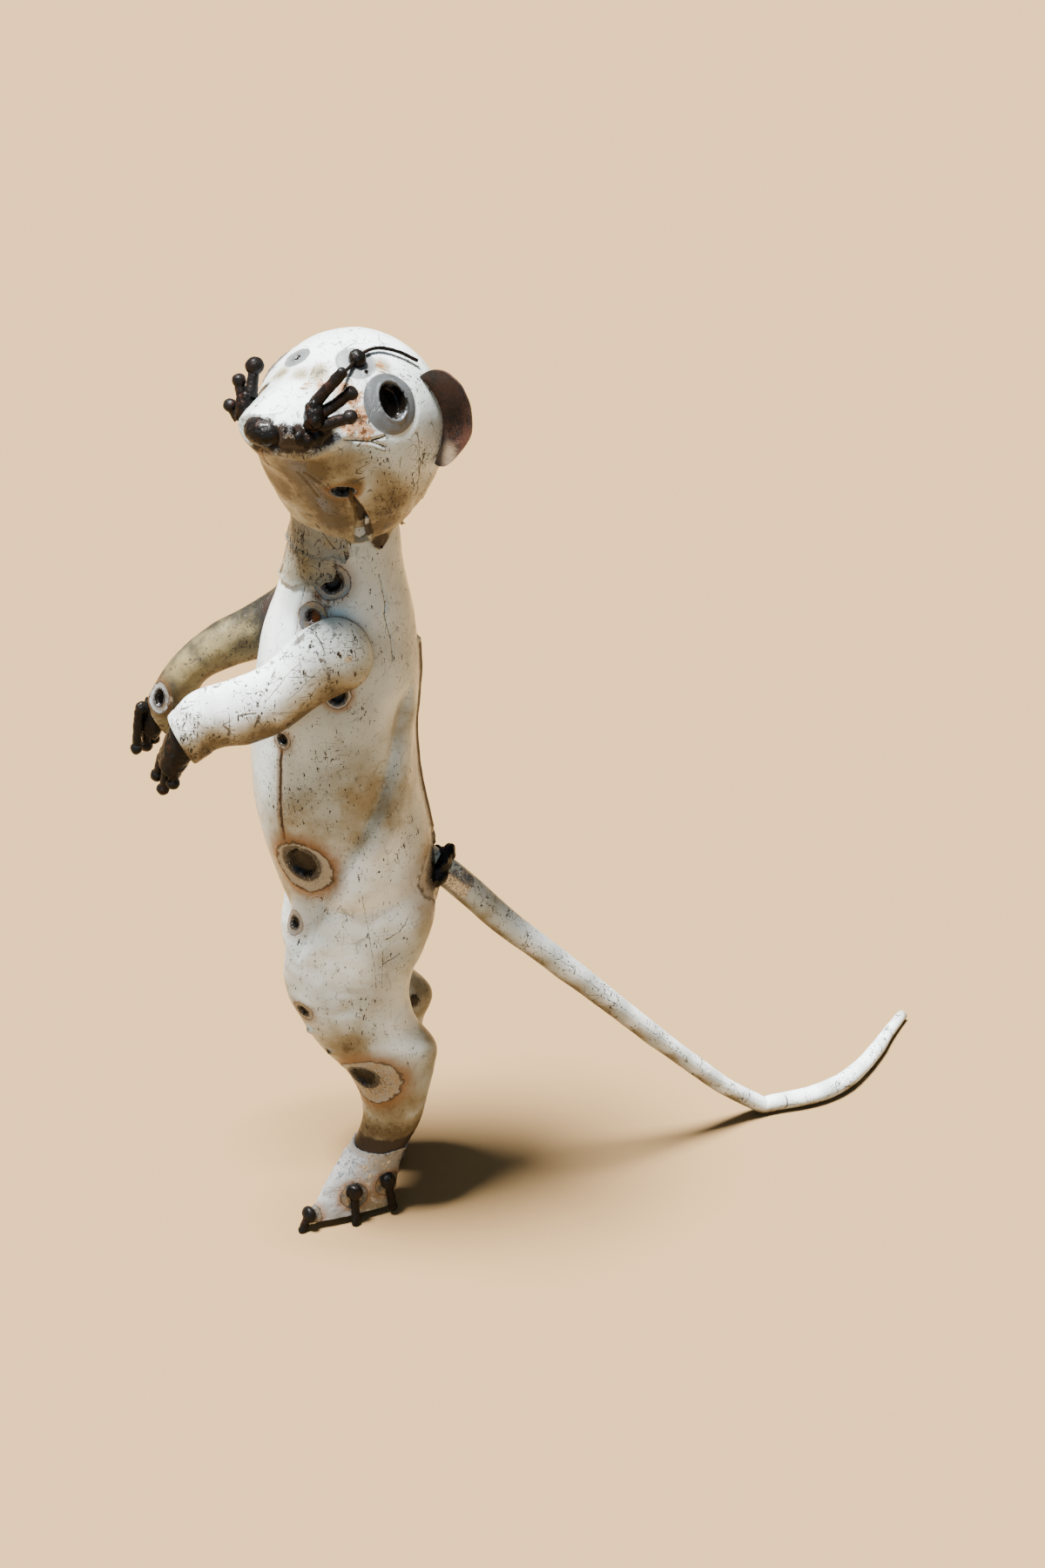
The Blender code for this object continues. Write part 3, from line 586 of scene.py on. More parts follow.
def makeCutGroup():
    # seams, cracks and scratches, and painted shadow in the gap at the throat: a dark ragged line along
    # each measured cut, with a brown margin
    group, given, told = newGroup(
        "darkCut",
        {"Vector": (0, 0, 0), "Color": (0.8, 0.8, 0.8, 1), "Height": 0.0,
         "cutAway": 99.0, "cutSide": 0.0, "cutWide": 0.5},
        {"Color": "Color", "Height": "Float"})
    place = given["Vector"]
    aside = swayed(group, noiseOf(group, place, 190, 3, 0.6), 2.2, given["cutSide"])
    aside = sums(group, "ABSOLUTE", aside)
    aside = swayed(group, noiseOf(group, place, 900, 2, 0.6), 0.7, aside)
    aside = sums(group, "SUBTRACT", aside, given["cutWide"])
    close = between(group, given["cutAway"], 2.2, 3.2, 1.0, 0.0)
    line = sums(group, "MULTIPLY", between(group, aside, -0.05, 0.16, 1.0, 0.0), close)
    wide = between(group, given["cutWide"], 0.15, 0.5)
    stain = sums(group, "MULTIPLY", between(group, aside, 0.0, 2.4, 0.7, 0.0), close)
    tone = mixed(group, sums(group, "MULTIPLY", stain, wide), given["Color"], (0.2, 0.12, 0.055, 1))
    group.links.new(mixed(group, line, tone, (0.028, 0.02, 0.015, 1)), told["Color"])
    group.links.new(sums(group, "MULTIPLY_ADD", line, -1.0, given["Height"]), told["Height"])
    return group


enamelGroup = makeEnamelGroup()
burnGroup = makeBurnGroup()
cutGroup = makeCutGroup()
print("node groups made")


def enamelFinish(name, burnt=True, **look):
    # enamel under its cuts and burns, all read from the mesh's own attributes
    finish, tree, shader, place = newFinish(name, **{"Coat Weight": 0.12, "Coat Roughness": 0.08,
                                                      "Specular IOR Level": 0.14})
    stainsAndLight = {label: attributeOf(tree, label) for label in stainAndLightNames}
    out = use(tree, enamelGroup, {"Vector": place, **stainsAndLight, **look})
    cuts = {label: attributeOf(tree, label) for label in ("cutAway", "cutSide", "cutWide")}
    cut = use(tree, cutGroup, {"Vector": place, "Color": out["Color"], "Height": out["Height"], **cuts})
    result = {"Color": cut["Color"], "Roughness": out["Roughness"], "Metallic": out["Metallic"],
              "Height": cut["Height"]}
    if burnt:
        burns = {label: attributeOf(tree, label)
                 for label in ("ringAway", "coreAway", "halo", "warm", "even", "dark")}
        result = use(tree, burnGroup, {"Vector": place, **result, **burns})
        tree.links.new(result["Coat"], shader.inputs["Coat Weight"])
    tree.links.new(result["Color"], shader.inputs["Base Color"])
    tree.links.new(result["Roughness"], shader.inputs["Roughness"])
    tree.links.new(result["Metallic"], shader.inputs["Metallic"])
    bumped(tree, shader, result["Height"], 0.5)
    return finish


def weldFinish(name, tone, warm, roughness):
    # black slag and rod: glossy, pitted, with a red-brown bloom
    finish, tree, shader, place = newFinish(name, **{"Coat Weight": 0.07, "Coat Roughness": 0.06,
                                                      "Specular IOR Level": 0.07})
    patch = noiseOf(tree, place, 210, 4, 0.6)
    pit = noiseOf(tree, place, 900, 4, 0.6)
    color = mixed(tree, between(tree, patch, 0.5, 0.72), tone, warm)
    color = mixed(tree, between(tree, pit, 0.66, 0.76, 0.0, 0.6), color, (0.08, 0.072, 0.065, 1))
    tree.links.new(color, shader.inputs["Base Color"])
    tree.links.new(between(tree, pit, 0.3, 0.75, roughness, roughness + 0.35), shader.inputs["Roughness"])
    bumped(tree, shader, sums(tree, "MULTIPLY_ADD", pit, 0.6, patch), 0.6, 0.0008)
    return finish


def rustFinish(name):
    # dark red-brown rust with paler scale
    finish, tree, shader, place = newFinish(name)
    patch = noiseOf(tree, place, 130, 5, 0.62)
    grit = noiseOf(tree, place, 900, 4, 0.6)
    color = mixed(tree, between(tree, patch, 0.35, 0.6), (0.008, 0.003, 0.002, 1), (0.035, 0.011, 0.005, 1))
    color = mixed(tree, between(tree, attributeOf(tree, "bare"), 0.2, 0.9), color, (0.12, 0.085, 0.05, 1))
    color = mixed(tree, between(tree, grit, 0.6, 0.7, 0.0, 0.6), color, (0.07, 0.035, 0.018, 1))
    tree.links.new(color, shader.inputs["Base Color"])
    tree.links.new(between(tree, grit, 0.3, 0.7, 0.35, 0.65), shader.inputs["Roughness"])
    bumped(tree, shader, sums(tree, "MULTIPLY_ADD", patch, 0.8, grit), 0.6, 0.0008)
    return finish


blackWeld = weldFinish("blackWeld", (0.004, 0.0035, 0.003, 1), (0.016, 0.006, 0.0035, 1), 0.18)
darkRod = weldFinish("darkRod", (0.006, 0.005, 0.0045, 1), (0.02, 0.009, 0.006, 1), 0.22)
earRust = rustFinish("earRust")


# Trunk and legs, welded into one shell

body = {
    "trunk": [  # front y, z, back y, z, half-width
        (-24, 174, 26, 170, 20), (-37, 186, 38, 181, 35), (-44, 207, 39, 203, 41),
        (-50.5, 235, 35.5, 230, 43), (-53.5, 262, 31, 257, 44), (-52, 290, 30, 286, 43),
        (-48.5, 321, 32.5, 317, 42), (-43.5, 344, 31.5, 340, 40), (-36.5, 363, 29, 359, 35.5),
        (-30, 381, 25.5, 378, 29.5), (-26, 399, 24, 396, 26), (-24, 409, 22, 408, 24),
    ],
    "fullness": 1.06,
    "hip": [  # the same, with the middle's x before the half-width
        (-34, 214, 33, 210, 19, 19), (-38, 193, 36.5, 189, 20.5, 21.5), (-40.5, 173, 31, 170, 22, 21.5),
        (-42.5, 153, 23, 149, 22.5, 20.5), (-41, 142, 22, 138, 23, 19.5), (-35, 128, 25, 124, 23.5, 18),
    ],
    "leftShin": [
        (-24, 108.5, 36, 104.5, 23.5, 16.5), (-13.5, 94, 34.5, 91, 22.5, 15),
        (-6, 76.5, 31, 73.5, 21.5, 13.5), (-4.5, 59, 26.5, 56, 20.8, 12),
        (-7.5, 48, 22, 45, 20.3, 11.5), (-12, 38.5, 17, 36, 20, 11.5),
    ],
    "rightShin": [
        (-20, 112, 37, 107, -23, 16.5), (-8, 98, 32.5, 93, -22.5, 15), (0, 78, 30, 75, -20.5, 13.5),
        (1.5, 60, 28, 58, -18.5, 12), (0.5, 48, 26.5, 46, -16.5, 11.5), (-3, 38.5, 23.5, 36.5, -15, 11.5),
    ],
    "fold": [(41, -24, 205), (41, -14.6, 221.6), (42, -7.7, 234.5), (43, 5.8, 254.5), (43, 16.9, 268.8),
             (40, 27, 287)],
    "foldDepth": 4.2, "foldReach": 14,
    "lattice": 1.25,
}
# where the sheet was tacked or burnt; at, ring, core and deep are in squares, the rest are shares
bodyBurns = bothSides([
    {"at": (28.3, -10.3, 380.6), "ring": 9.0, "core": 4.6, "deep": 2.2, "warm": 0.5, "dark": 0.6},
    {"at": (30.7, -20, 363.5), "ring": 7.5, "core": 3.2, "deep": 1.6, "warm": 1.0, "dark": 0.7},
    {"at": (41.2, -10, 326), "ring": 6.6, "core": 3.9, "deep": 2.2, "warm": 0.4, "halo": 0.8},
    {"at": (32.5, -37.7, 298.3), "ring": 5.2, "core": 2.6, "deep": 1.6, "warm": 0.6, "halo": 0.6},
    {"at": (34.9, -31, 225), "ring": 16.0, "core": 8.4, "coreAt": (34.9, -32, 228), "deep": 3.2,
     "halo": 1.0, "warm": 0.2, "dark": 0.4, "lip": 0.5},
    {"at": (26.5, -36.6, 188.3), "ring": 6.6, "core": 3.0, "deep": 2.0, "warm": 0.6, "halo": 0.3},
    {"at": (34, -33, 139.5), "ring": 6.0, "core": 3.0, "deep": 2.0, "warm": 0.5, "halo": 0.5},
    {"at": (36, -1, 92), "ring": 15.8, "core": 6.4, "coreAt": (35, -4.5, 94), "deep": 2.6, "halo": 0.9,
     "warm": 0.6, "dark": 0.35, "stretch": (1, 0.9, 1)},
]) + [{"at": (0, 37, 207), "ring": 17.5, "core": 10.5, "deep": 0.3, "halo": 0.4, "warm": 0.5, "dark": 0.45,
       "stretch": (0.56, 0.6, 0.95)}]
bodySeams = [
    ([(32.5, -37.7, 298.3), (32.3, -38.9, 270), (32.1, -39, 244.2)], 0.7),
    ([(23.2, -24.1, 375), (25.2, -26, 366), (27.6, -27.8, 357.0), (31, -31, 344)], 0.15),
    ([(25.0, 13.1, 379.2), (27.1, 15.2, 367.1), (29.5, 14.1, 362.7), (30.6, 17, 349.1),
      (31.5, 17.2, 341)], 0.1),
]
bodyScratches = [
    ([(41.4, -1.4, 210.7), (42.2, 3.6, 168.8), (41.4, 4.2, 157.5)], 0.04),
    ([(42.2, 8.0, 176.0), (42.2, 7.5, 158.8)], 0.04),
    ([(40.6, 12.1, 185.2), (39.4, 16.5, 187.3), (37.4, 20, 192.1)], 0.16),
    ([(41.5, 7.1, 168.1), (40.9, 10.5, 170.7), (39.9, 14.9, 172.8)], 0.18),
]
bodySeams += [(mirrored(line), width) for line, width in bodySeams]
bodyScratches += [(mirrored(line), width) for line, width in bodyScratches]
backSeam = [([(0, 32, 330), (0, 30, 290), (0, 30.7, 262), (0, 34.5, 236), (0, 37.5, 220)], 1.9),
            ([(0, 39, 192), (0, 35, 178)], 1.9)]
bodyCuts = bodySeams + bodyScratches + backSeam
bodyStainsAndLight = {
    # the ochre list holds real stains and painted shade: the belly above each fold, the crease along it,
    # the neck under the head, the back near the tail root
    "ochreAndShade": [
        ((41, 6, 262), 24, 0.75), ((38, -28, 255), 18, 0.5), ((41, -5, 285), 16, 0.35),
        ((30, 24, 300), 14, 0.5), ((43, -2, 244), 11, 0.6), ((36, 8, 72), 20, 0.75),
        ((32, 5, 56), 12, 1.0), ((38, -10, 118), 12, 0.75), ((28, 28, 190), 12, 0.6),
        ((24, 4, 402), 14, 0.35), ((-20, 30, 112), 14, 0.9), ((40, 0, 148), 14, 0.3),
        ((20, 33, 222), 8, 0.8),
    ],
    "wear": [
        ((42, -18, 291), 8, 0.9), ((33, -30, 282), 18, 0.55), ((38, -32, 262), 14, 0.6),
        ((35, -33, 172), 12, 0.5), ((41, -5, 142), 9, 0.5), ((40, 12, 246), 12, 0.5),
        ((32, 22, 240), 12, 0.6), ((30, 18, 335), 10, 0.5), ((38, -20, 205), 9, 0.6),
        ((30, -2, 98), 8, 0.5), ((36, 12, 85), 8, 0.5), ((24, 12, 388), 8, 0.4),
    ],
    # painted light: the chest front, the thighs and the upper sides
    "paintedLight": [
        ((0, -45, 345), 26, 0.9), ((26, -34, 352), 10, 0.9), ((42, -3, 205), 26, 0.9),
        ((42, 10, 225), 18, 0.7), ((30, 8, 368), 18, 0.5), ((38, 15, 130), 14, 0.5),
        ((42, -12, 172), 16, 0.8),
    ],
    "sootAndShade": [
        ((27, -17, 373), 5, 0.75), ((32, -13, 369), 4, 0.6), ((31, -30, 232), 4, 0.8),
        ((28, -14, 100), 6, 1.0), ((27, -17, 104), 5, 0.9), ((27, -6, 80), 5, 0.6),
        ((34, -22, 112), 3, 0.9), ((33, -31, 126), 3.5, 0.7), ((-11, 26, 110), 5, 1.1),
        ((35, -32, 143), 3, 0.5),
    ],
}
# the far side has the same stains, painted light and painted shade, a little weaker
for places in bodyStainsAndLight.values():
    places += [(mirrored(centre), reach, strength * 0.85) for centre, reach, strength in places]


def bodyRelief(points, normals):
    # hammered dents, the fold over each thigh, sunk burn marks, seams
    move = 0.5 * roughAt(points, 30, 2, 3) + 0.22 * roughAt(points, 11, 2, 5)
    thighs = smoothStep(points[:, 2], 240, 205) * smoothStep(points[:, 2], 100, 140)
    move += thighs * (0.5 * roughAt(points, 13, 2, 9) + 0.25 * np.abs(noiseAt(points, 6, 11)))
    # the thigh swells below its fold and the belly drops in above it
    near, side, wide = cutMeasures(points, normals, [(body["fold"], 1), (mirrored(body["fold"]), 1)])
    side = side * np.sign(points[:, 0]) * (near < 40)
    ends = smoothStep(near, 40, 24)
    move -= ends * body["foldDepth"] * np.where(side < 0, np.exp(side / body["foldReach"]),
                                                np.exp(-((side / 3.5) ** 2)))
    move += ends * 1.5 * np.exp(-(((side - 12) / 8) ** 2))
    move += craterRelief(points, bodyBurns)
    move += cutRelief(points, normals, bodySeams, 0.8)
    near, side, wide = cutMeasures(points, normals, backSeam)
    return move + 1.7 * (near < 5) * np.exp(-((side / 1.5) ** 2))


def makeBody():
    trunk = ovalRings(through(body["trunk"], 170), 160, body["fullness"])
    legs = [limbRings(body["hip"] + body["leftShin"], 150, 90),
            limbRings([row[:4] + (-row[4], row[5]) for row in body["hip"]] + body["rightShin"], 150, 90)]
    shells = [closedGrid(domed(trunk, 5, 6))] + [closedGrid(leg) for leg in legs]
    # ragged ends of weld at the knee and over the shin
    axes = np.eye(3)
    for at, radii in (((33, -29.5, 126), (2.2, 3.0, 2.6)), ((33.6, -20.2, 112), (2.0, 2.6, 2.0)),
                      ((31, -24.5, 119), (1.6, 2.0, 1.8))):
        shells += [closedGrid(ballRings(at, axes, radii, 12, 16)),
                   closedGrid(ballRings(mirrored(at), axes, radii, 12, 16))]
    mesh = weldedMesh("sheetBody", shells, body["lattice"], 4)
    markMesh(mesh, bodyBurns, bodyCuts, bodyStainsAndLight, 0.7)
    press(mesh, bodyRelief)
    # soot and heat tint where each shin enters its foot
    points = pointsOf(mesh)
    for label, low, high, least in (("sootAndShade", 46.5, 54, 1.1), ("ochreAndShade", 54, 76, 1.15)):
        deepen(mesh, label, least * smoothStep(points[:, 2] + 2 * roughAt(points, 7, 2, 15), high, low))
    finish = enamelFinish("bodyEnamel", Chipped=0.65, Scratched=0.4)
    return finishPiece("sheetBody", mesh, finish, ["body"])


makeBody()
print("body made")


# Head, turned over the left shoulder

head = {
    "turn": 49.0, "middle": (2, 2.5, 450),
    "rows": [  # forward, crown, widest height, underside, half-width
        (-41.5, 8, 1, -8, 9), (-39.5, 18, 1, -20, 20), (-33.5, 29, 1, -34, 31), (-23, 39, 1, -46, 38.5),
        (-8, 44.5, 1, -56.5, 42), (8, 44.7, 1, -58.5, 42), (22, 42, 2, -53, 38.5), (34, 37, 5, -36, 31.5),
        (45, 33, 10, -16, 24.5), (54, 30.5, 14, -4, 19.5), (61, 28.7, 17, 3.5, 16.2),
        (65.5, 27, 19, 8, 13.5),
    ],
    "skull": 42.5, "lattice": 0.72,
    "eyes": [(71, 33), (-66, 34)], "eyeWide": 6.6, "eyeTall": 8.2, "eyeDepth": 6.5,
    "bead": (48, 61),
}
ahead = np.array([np.sin(np.radians(head["turn"])), -np.cos(np.radians(head["turn"])), 0])
leftward = np.array([-ahead[1], ahead[0], 0])
upward = np.array([0.0, 0, 1])
headAxes = (ahead, leftward, upward)


def onHead(forward, left, up):
    # a place by its distances from the head's middle along the head's own axes
    return np.array(head["middle"]) + ahead * forward + leftward * left + upward * up


def onSkull(turn, rise, out):
    # a place on a ball round the head's middle, turned left of forward and raised
    turn, rise = np.radians(turn), np.radians(rise)
    level = out * np.cos(rise)
    return onHead(level * np.cos(turn), level * np.sin(turn), out * np.sin(rise))


def headRings(count, cols):
    # half-width by sine, and crown or underside by cosine, from the widest height
    forward, crown, widest, under, half = through(head["rows"], count).T[:, :, None]
    sine, cosine = np.sin(turnsOf(cols))[None], np.cos(turnsOf(cols))[None]
    up = widest + cosine * np.where(cosine > 0, crown - widest, widest - under)
    side = half * sine
    return (np.array(head["middle"]) + forward[..., None] * ahead + side[..., None] * leftward
            + up[..., None] * upward)


def eyeAway(points, turn, rise):
    # distance from an eye's axis, 1 on the hole's oval rim, and the depth along the axis
    on = onSkull(turn, rise, head["skull"])
    axis = unit(on - np.array(head["middle"]))
    level = unit(np.cross(upward, axis))
    off = points - on
    across, tall = off @ level / head["eyeWide"], off @ np.cross(axis, level) / head["eyeTall"]
    return np.hypot(across, tall), off @ axis, axis


def eyePits(grid):
    # points near each eye's axis are pushed in along it
    for turn, rise in head["eyes"]:
        away, depth, axis = eyeAway(grid, turn, rise)
        away = away + 0.04 * noiseAt(grid, 2.0, 8)
        sunk = head["eyeDepth"] * (depth > -12) * smoothStep(away, 1.06, 0.93)
        grid = grid - axis * sunk[..., None]
    return grid


headCuts = [
    ([(49.2, -0.9, 461.8), (45.9, 9.9, 459.1), (44.4, 14.3, 456.5)], 0.16),
    ([(45.9, 9.9, 459.8), (44.6, 14.6, 460.2)], 0.3),
    ([(48.2, -19.4, 445.0), (45.2, -11, 436.0)], 0.08),
    ([(47.0, -23.3, 444.6), (43, -17, 432)], 0.06),
    ([(51.0, -40.7, 457.9), (38.7, -38.9, 447)], 0.5),
    # the last three cuts run down the gap at the throat, as painted shadow that widens downwards
    ([(44.4, 0, 432), (42.2, 2.6, 426.5)], 0.7), ([(42.2, 2.6, 426.5), (39.5, 4.6, 419)], 1.7),
    ([(39.5, 4.6, 419), (36, 5.6, 410)], 2.6),
]
lip = [(54.7, -36.6, 462.7), (56.2, -29.0, 458.8), (54.5, -20.4, 456.3), (52.7, -11.1, 458.6),
       (50.0, -3.7, 463.1)]
throatGap = [(44.5, -0.6, 432.5), (41.8, 3.0, 424), (38.5, 5.0, 416), (33, 5.5, 406)]
headStainsAndLight = {
    # the ochre list holds real stains and painted shade under the jaw and throat
    "ochreAndShade": [
        ((48, -20, 446), 13, 1.0), ((42, -12, 428), 14, 0.95), ((38, -8, 416), 12, 0.9),
        ((38, 16, 425), 14, 0.75), ((31, 15, 411), 8, 1.1), ((47, -2, 450), 10, 0.7),
        ((21, -30, 483.6), 6, 0.9), ((28, -21, 486), 6, 0.8), ((31, -13, 486.8), 6, 0.9),
        ((22, 17.2, 486.3), 6, 0.85), ((42, 14, 440), 9, 0.6), ((52, -25, 452), 6, 0.55),
        ((26, -34, 432), 10, 0.9), ((38, -6, 480), 7, 0.4), ((46, 0, 436.5), 5.5, 1.5),
    ],
    "rust": [
        ((39.7, 2.1, 479), 6, 0.95), ((44.6, 4.3, 470.3), 7, 1.0), ((37.7, -1.7, 481.8), 6, 0.8),
        ((47.3, 0.1, 467.3), 6, 0.9), ((46.4, 6.4, 463.7), 6, 0.8), ((37.3, -10.8, 483.3), 5, 0.8),
        ((36.8, -18.6, 483.8), 4, 0.6), ((23, 16, 486.5), 4, 0.6), ((40, -3, 478), 5, 0.8),
    ],
    "wear": [
        ((34, -15, 485), 7, 0.6), ((46, -13, 440), 7, 0.8), ((40, 18, 425), 12, 0.75),
        ((30, 34, 440), 14, 0.6), ((32, 33, 455), 14, 0.45), ((20, 30, 480), 10, 0.45),
        ((41, 12, 446), 8, 0.55), ((31, 20, 412), 8, 0.8), ((33, -25, 482), 5, 0.6),
        ((48, -25, 476), 5, 0.4),
    ],
    # painted light on the crown and along the top of the snout
    "paintedLight": [
        ((2, 2, 495), 36, 1.2), ((48, -30, 478), 14, 1.2), ((36, -24, 483), 10, 0.7),
        ((48, -6, 473), 5, 0.8), ((27, 36, 453), 10, 0.2),
    ],
    "sootAndShade": [
        ((53, -36, 464), 6, 1.2), ((57.5, -31, 464.5), 5, 0.9), ((56.7, -20.9, 464.6), 5, 1.3),
        ((52.4, -12, 465.5), 5, 1.2), ((55.7, -19.9, 469), 4, 1.0), ((48, -42, 470), 6, 1.2),
        ((49, -41, 459), 5, 1.0), ((30, 17.5, 408), 3.5, 1.3), ((53, -15, 473), 3.0, 0.9),
        ((38, -38.5, 448), 5, 1.0), ((45.4, -5.6, 434.3), 2.7, 2.4), ((45.4, -2.8, 434.3), 2.7, 2.4),
        # painted shadow along the gap at the throat
        ((42, 3, 425), 2.0, 1.2), ((39, 5, 418), 2.6, 1.4), ((36.5, 5.6, 411), 3.2, 1.6),
        ((30, -33, 486), 3, 0.6), ((58.5, -34, 467), 5.5, 1.3), ((58, -28, 465), 4.6, 1.4),
        ((57, -22, 464), 5, 1.4), ((55, -15.5, 464.5), 5, 1.3), ((53, -10, 464.5), 4, 1.1),
        ((54, -35, 475), 4, 0.8), ((56.5, -31, 471), 4.6, 1.3), ((56.5, -24, 470), 4.6, 1.2),
        ((55, -18, 469.5), 4.6, 1.2),
    ],
    "bare": [((59, -27.5, 471), 3.4, 1.1), ((51.1, -6.5, 464.5), 3.0, 0.9), ((46, 13, 459.5), 2.0, 0.8)],
}
headBurnsAndEyeShade = [
    # the first two are the eyes: the grey ring is burnt, and the black core is painted shade inside each
    # hole
    {"at": onSkull(71, 33, 42.5) + (0.4, -1.6, -1.4), "ring": 14.6, "core": 8.2, "deep": 0.0, "lip": 0.0,
     "coreAt": onSkull(71, 33, 40), "halo": 0.0, "warm": 0.0, "even": 1.0, "dark": 0.86},
    {"at": onSkull(-66, 34, 42.5), "ring": 14.0, "core": 8.2, "deep": 0.0, "lip": 0.0,
     "coreAt": onSkull(-66, 34, 40), "halo": 0.0, "warm": 0.0, "even": 1.0, "dark": 0.86},
    {"at": onSkull(46, 60, 45), "ring": 9.5, "core": 1.2, "coreAt": (28.4, 9.2, 486.1), "deep": 0.2,
     "halo": 0.15, "warm": 0.0, "even": 0.6, "dark": 0.45, "lip": 0.1},
    {"at": (45.4, -4.1, 434.3), "ring": 4.6, "core": 2.9, "deep": 0.6, "halo": 0.7, "warm": 0.3,
     "dark": 0.7, "stretch": (1, 0.7, 1.2)},
    {"at": onSkull(-22, 55, 48), "ring": 6.5, "core": 1.6, "deep": 0.8, "halo": 0.1, "warm": 0.0,
     "even": 0.4, "dark": 0.6},
]


def headRelief(points, normals):
    # gentle dents, the lip under the snout, raised eye rims, the tack and the gap at the throat
    move = 0.35 * roughAt(points, 24, 2, 21) + 0.16 * roughAt(points, 8, 2, 23)
    for turn, rise in head["eyes"]:
        away = eyeAway(points, turn, rise)[0]
        move += (0.45 + 0.35 * noiseAt(points, 1.5, 25)) * np.exp(-((away - 1.17) / 0.09) ** 2)
        move -= 0.3 * np.exp(-((away - 2.0) / 0.2) ** 2)
    near, side, wide = cutMeasures(points, normals, [(lip, 1)])
    move += 1.3 * np.exp(-((side / 2.4) ** 2)) * smoothStep(near, 8, 3)
    below = near * np.sign(side)
    move -= 0.5 * np.exp(-(((below + 4.5) / 1.4) ** 2)) * smoothStep(near, 8, 5)
    tack = np.linalg.norm((points - (45.4, -4.1, 434.3)) * (1, 0.55, 1.15), axis=-1)
    move -= 3.0 * smoothStep(tack, 3.6, 2.4)
    near, side, wide = cutMeasures(points, normals, [(throatGap, 1)])
    widening = np.interp(points[:, 2], [404, 420, 433], [4.6, 2.6, 0.5])
    gap = (near < 9) * smoothStep(np.abs(side) - widening, 0.5, -0.5)
    move -= 6.5 * gap * smoothStep(points[:, 2], 435, 430)
    return move + craterRelief(points, headBurnsAndEyeShade[2:]) + cutRelief(points, normals, headCuts, 0.5, 0.15)


def makeHead():
    rings = eyePits(headRings(360, 330))
    mesh = weldedMesh("skullSheet", [closedGrid(rings)], head["lattice"], 2)
    markMesh(mesh, headBurnsAndEyeShade, headCuts, headStainsAndLight, 0.8)
    press(mesh, headRelief)
    finish = enamelFinish("headEnamel", Chipped=0.7, Scratched=0.9)
    return finishPiece("skullSheet", mesh, finish, ["head"])


def neckPlace(turn, height, off):
    # a place off the trunk's skin at a height and a turn from the front, with its own slope
    rows = through(body["trunk"], 200)
    level = (rows[:, 1] + rows[:, 3]) / 2
    deep, wide, middle = [np.interp(height, level, column) for column in
                          ((rows[:, 2] - rows[:, 0]) / 2, rows[:, 4], (rows[:, 0] + rows[:, 2]) / 2)]
    radius = 1 / np.sqrt((np.sin(turn) / wide) ** 2 + (np.cos(turn) / deep) ** 2) + off
    return np.stack([radius * np.sin(turn), middle - radius * np.cos(turn), height + 0 * turn], axis=-1)


flaps = {"places": [(121, 395, 17), (-122, 399, 17), (172, 398, 15)], "top": 416, "off": 9.0, "tip": 2.2}


def makeFlaps():
    # pointed sheets: they narrow to a rounded tip and close in on the neck as they come down
    shells = []
    for number, (middle, tip, spread) in enumerate(flaps["places"]):
        down, across = np.linspace(0, 1, 40)[:, None], np.linspace(-1, 1, 36)[None, :]
        wide = spread * (1 - down**2.4) ** 0.8 + 1.5
        turn = np.radians(middle + across * wide)
        sheet = np.stack([across * 9 + 0 * down, down * 9 + 0 * across, 0 * down * across], -1)
        height = flaps["top"] + (tip - flaps["top"]) * down + 0.5 * roughAt(sheet, 2.5, 2, 160 + number)
        off = flaps["tip"] + flaps["off"] * (1 - down) ** 1.4 + 0.6 * across**2 * (1 - down)
        shells.append(sheetGrid(neckPlace(turn, height, off + 0 * across), -figure["sheet"]))
    mesh = meshOf("neckFlaps", shells)
    press(mesh, lambda points, normals: 0.25 * roughAt(points, 5, 2, 165))
    stainsAndLight = {
        "ochreAndShade": [
            (neckPlace(np.radians(121), 405, 4), 14, 0.9),
            (neckPlace(np.radians(-122), 405, 4), 14, 0.9),
            (neckPlace(np.radians(172), 405, 4), 14, 0.9),
        ],
        "wear": [(neckPlace(np.radians(121), 404, 4), 9, 0.8)],
        "sootAndShade": [
            (neckPlace(np.radians(121), 400, 3), 5.0, 1.5),
            (neckPlace(np.radians(106), 408, 6), 5.0, 1.4),
            (neckPlace(np.radians(118), 406, 4), 4.0, 1.2),
            (neckPlace(np.radians(-122), 402, 3), 4, 1.2), (neckPlace(np.radians(150), 406, 4), 7, 1.4),
        ],
    }
    markMesh(mesh, (), (), stainsAndLight, 0.2)
    finish = enamelFinish("flapEnamel", False, Chipped=0.9, Scratched=0.6)
    return finishPiece("neckFlaps", mesh, finish, ["head"])


makeHead()
makeFlaps()
print("head made")


# Arms, flattened tubes with a round shoulder and a cuff

